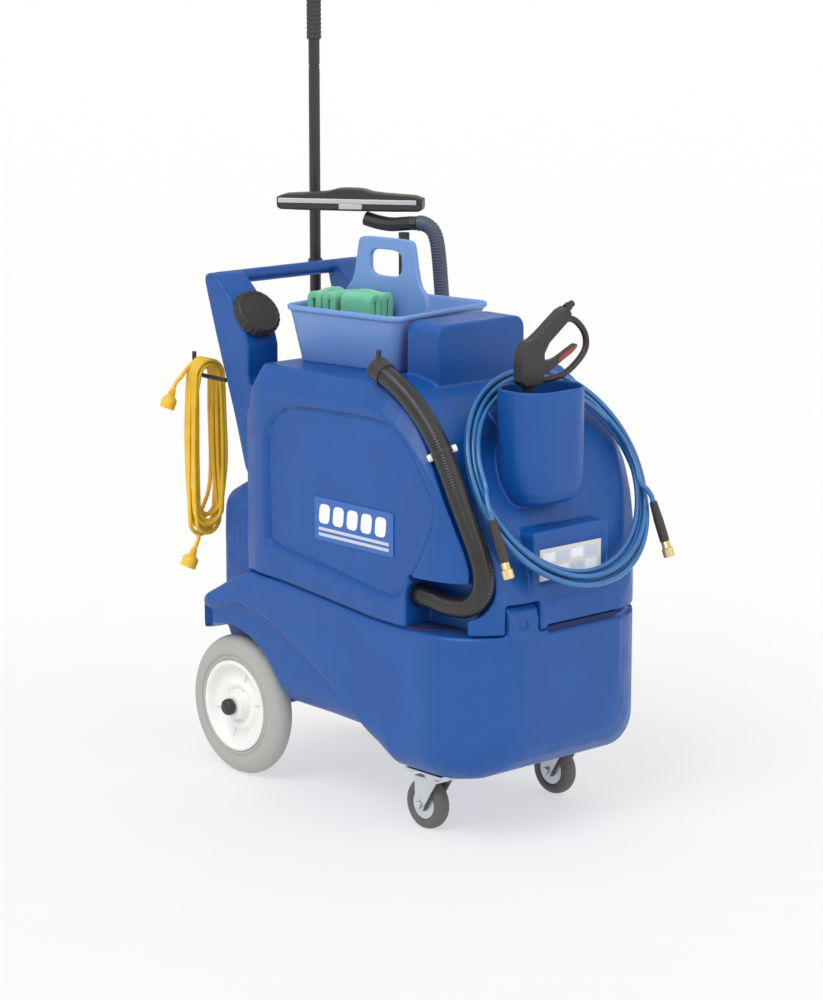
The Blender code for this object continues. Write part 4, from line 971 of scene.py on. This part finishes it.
def cloths():
    """Two folded stacks of microfibre cloth, each one sheet folded up and down, with soft folds on top."""
    floor_z, start_y, end_y = DECK_Z + 0.008, -0.1, -0.018
    for number, (low, high, top, across) in enumerate(((-0.128, -0.043, 0.9945, False),
                                                       (-0.039, 0.0355, 0.9975, True)), 1):
        first, last = (start_y, end_y) if across else (low, high)
        layers, layer_thickness = 4, 0.015
        pitch = (last - first) / layers
        profile = []
        for layer in range(layers):
            place = first + pitch * (layer + 0.5)
            heights = [floor_z + 0.011 + (top - floor_z - 0.024) * i / 12 for i in range(13)]
            if layer % 2:
                heights.reverse()
            profile += [(place, z) for z in heights]
            if layer < layers - 1:
                turn = -1 if layer % 2 else 1
                profile += [(place + pitch * (0.5 - 0.5 * math.cos(math.radians(a))),
                             heights[-1] + turn * 0.006 * math.sin(math.radians(a)))
                            for a in (40, 90, 140)]
        bm = bmesh.new()
        grid = []
        for j in range(25):
            share = j / 24
            run = (low + (high - low) * share) if across else (start_y + (end_y - start_y) * share)
            row = []
            for place, z in profile:
                height = (z - floor_z) / (top - floor_z)
                sway = 0.0022 * height * math.sin(5.0 * share + 60 * place + number)
                slump = 0.003 * height * (1 - math.cos(2 * math.pi * share + 40 * place)) / 2
                tuck = 1.0 - 0.16 * (1 - height) - 0.03 * (2 * share - 1) ** 4
                point = (run, place * tuck + first * (1 - tuck) * 0.6 + sway) if across else (
                    place * tuck + (first + last) / 2 * (1 - tuck) + sway, run)
                row.append(bm.verts.new(CADDY_PLACE @ Vector((*point, z - slump))))
            grid.append(row)
        for a, b in zip(grid, grid[1:]):
            for i in range(len(a) - 1):
                bm.faces.new((a[i], a[i + 1], b[i + 1], b[i]))
        cloth = finish_mesh(f"folded_cloth_{number}", bm, CLOTH, 180)
        thickness = cloth.modifiers.new("thickness", "SOLIDIFY")
        thickness.thickness, thickness.offset = layer_thickness, 0.0
        soft = cloth.modifiers.new("soft", "SUBSURF")
        soft.levels = soft.render_levels = 2
        shown(cloth, "caddy", "green_cloth", f"cloth_{number}")


def groove(radius, z, depth, steps):
    """Part of a turned profile: a groove that starts at z, with its floor between the first two steps."""
    start, stop, end = steps
    return [(radius, z), (radius - depth, z + start), (radius - depth, z + stop), (radius, z + end)]


def pole():
    low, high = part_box("pole")
    x, y = (low.x + high.x) / 2, (low.y + high.y) / 2
    radius = (high.x - low.x) / 2
    length = high.z - low.z
    profile = [(0.0, 0.0), (radius - 0.003, 0.0), (radius - 0.0005, 0.003), (radius, 0.006)]
    for z in (0.05, 0.056, 0.062, length - 0.06, length - 0.054):
        profile += groove(radius, z, 0.001, (0.001, 0.003, 0.004))
    profile += [(radius, length), (0.0, length)]
    shaft = turned("pole_shaft", profile, (x, y, low.z), (0, 0, 1), BLACK, 48)
    shown(shaft, "pole", "black_plastic", "pole")
    low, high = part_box("pole_grip")
    radius = (high.x - low.x) / 2
    profile = [(0.0, 0.0), (radius - 0.002, 0.0), (radius, 0.003)]
    z = 0.008
    length = high.z - low.z
    while z < length - 0.02:
        profile += groove(radius, z, 0.0009, (0.0012, 0.003, 0.0042))
        z += 0.009
    profile += [(radius, length - 0.01), (radius - 0.004, length - 0.002), (0.005, length - 0.0002),
                (0.0, length - 0.0002)]
    shown(turned("pole_grip_ribbed", profile, (x, y, low.z), (0, 0, 1), GRIP, 48), "pole",
          "dark_rubber", "pole_grip")


def floor_tool():
    place = Matrix.Translation((-0.283, 0.094, 1.142)) @ Matrix.Rotation(math.radians(37.0), 4, "Z")
    edge = [(0.14, -0.021), (0.15, -0.016), (0.15, 0.01), (0.05, 0.016), (0.022, 0.024)]
    outline = [(-0.15, -0.016), (-0.14, -0.021), *edge, *[(-x, z) for x, z in edge[:1:-1]]]
    head = prism("head", smooth_outline(outline, 1), "Y", -0.0158, 0.0198)
    head.data.transform(place)
    body = moulded("squeegee_shell", head, [], [], BLACK, voxel=0.0018, passes=3)
    shown(body, "cart", "black_plastic", "squeegee_head")
    for name, low, high, material, slot_name, stands_for in (
            ("squeegee_rail", (-0.1455, -0.0222, -0.0062), (0.139, -0.0162, 0.0036), STEEL,
             "zinc_steel", ["squeegee_blade"]),
            ("squeegee_rubber", (-0.1455, -0.0205, -0.0168), (0.1455, -0.0162, -0.0066), GRIP,
             "dark_rubber", []),
            ("squeegee_clamp", (-0.02, -0.0222, -0.017), (0.028, -0.0165, -0.0064), STEEL,
             "zinc_steel", [])):
        strip = box(name, low, high, material)
        strip.data.transform(place)
        rounded_edges(strip, 0.0012)
        shown(strip, "cart", slot_name, *stands_for)
    shown(ribbed_tube("vacuum_hose_ribbed", VAC_ROUTE, VAC_HOSE_R, VAC_DARK, pitch=0.006,
                      depth=0.0012), "cart", "dark_rubber", "vacuum_hose")


def carried_over():
    """CAD nodes whose shape is right, with softened edges and their detailed materials."""
    for material, width, nodes in (
            (BLUE, 0.0015, ["tank_lid"]), (WHITE, 0.0008, ["float_shutoff"]),
            (BLACK, 0.0015, ["control_panel"]), (RED, 0.0005, ["pump_switch", "vacuum_switch"]),
            (STEEL, 0.001, ["vacuum_motor"]), (BLACK, 0.002, ["solution_pump"]),
            (BLACK, 0.0008, ["pole_clip", "pole_cup", "tool_stand", "vacuum_port"]),
            (BLACK, 0.0005, ["gun_inlet"]), (BLACK, None, ["cord_hook", "tool_elbow"]),
            (ZINC, 0.0008, ["rear_axle", *[f"caster_{part}_{side}" for side in ("right", "left")
                                           for part in ("fork", "plate", "axle")]])):
        for node in nodes:
            finished(node, material, width)


camera_and_light()
pressure_hose()
extension_cord()
base_shell()
recovery_shell()
seam_trim()
motor_cover()
handle_shell()
wheels()
casters()
fill_cap()
drain_pieces()
plates()
gun()
caddy()
cloths()
pole()
floor_tool()
carried_over()
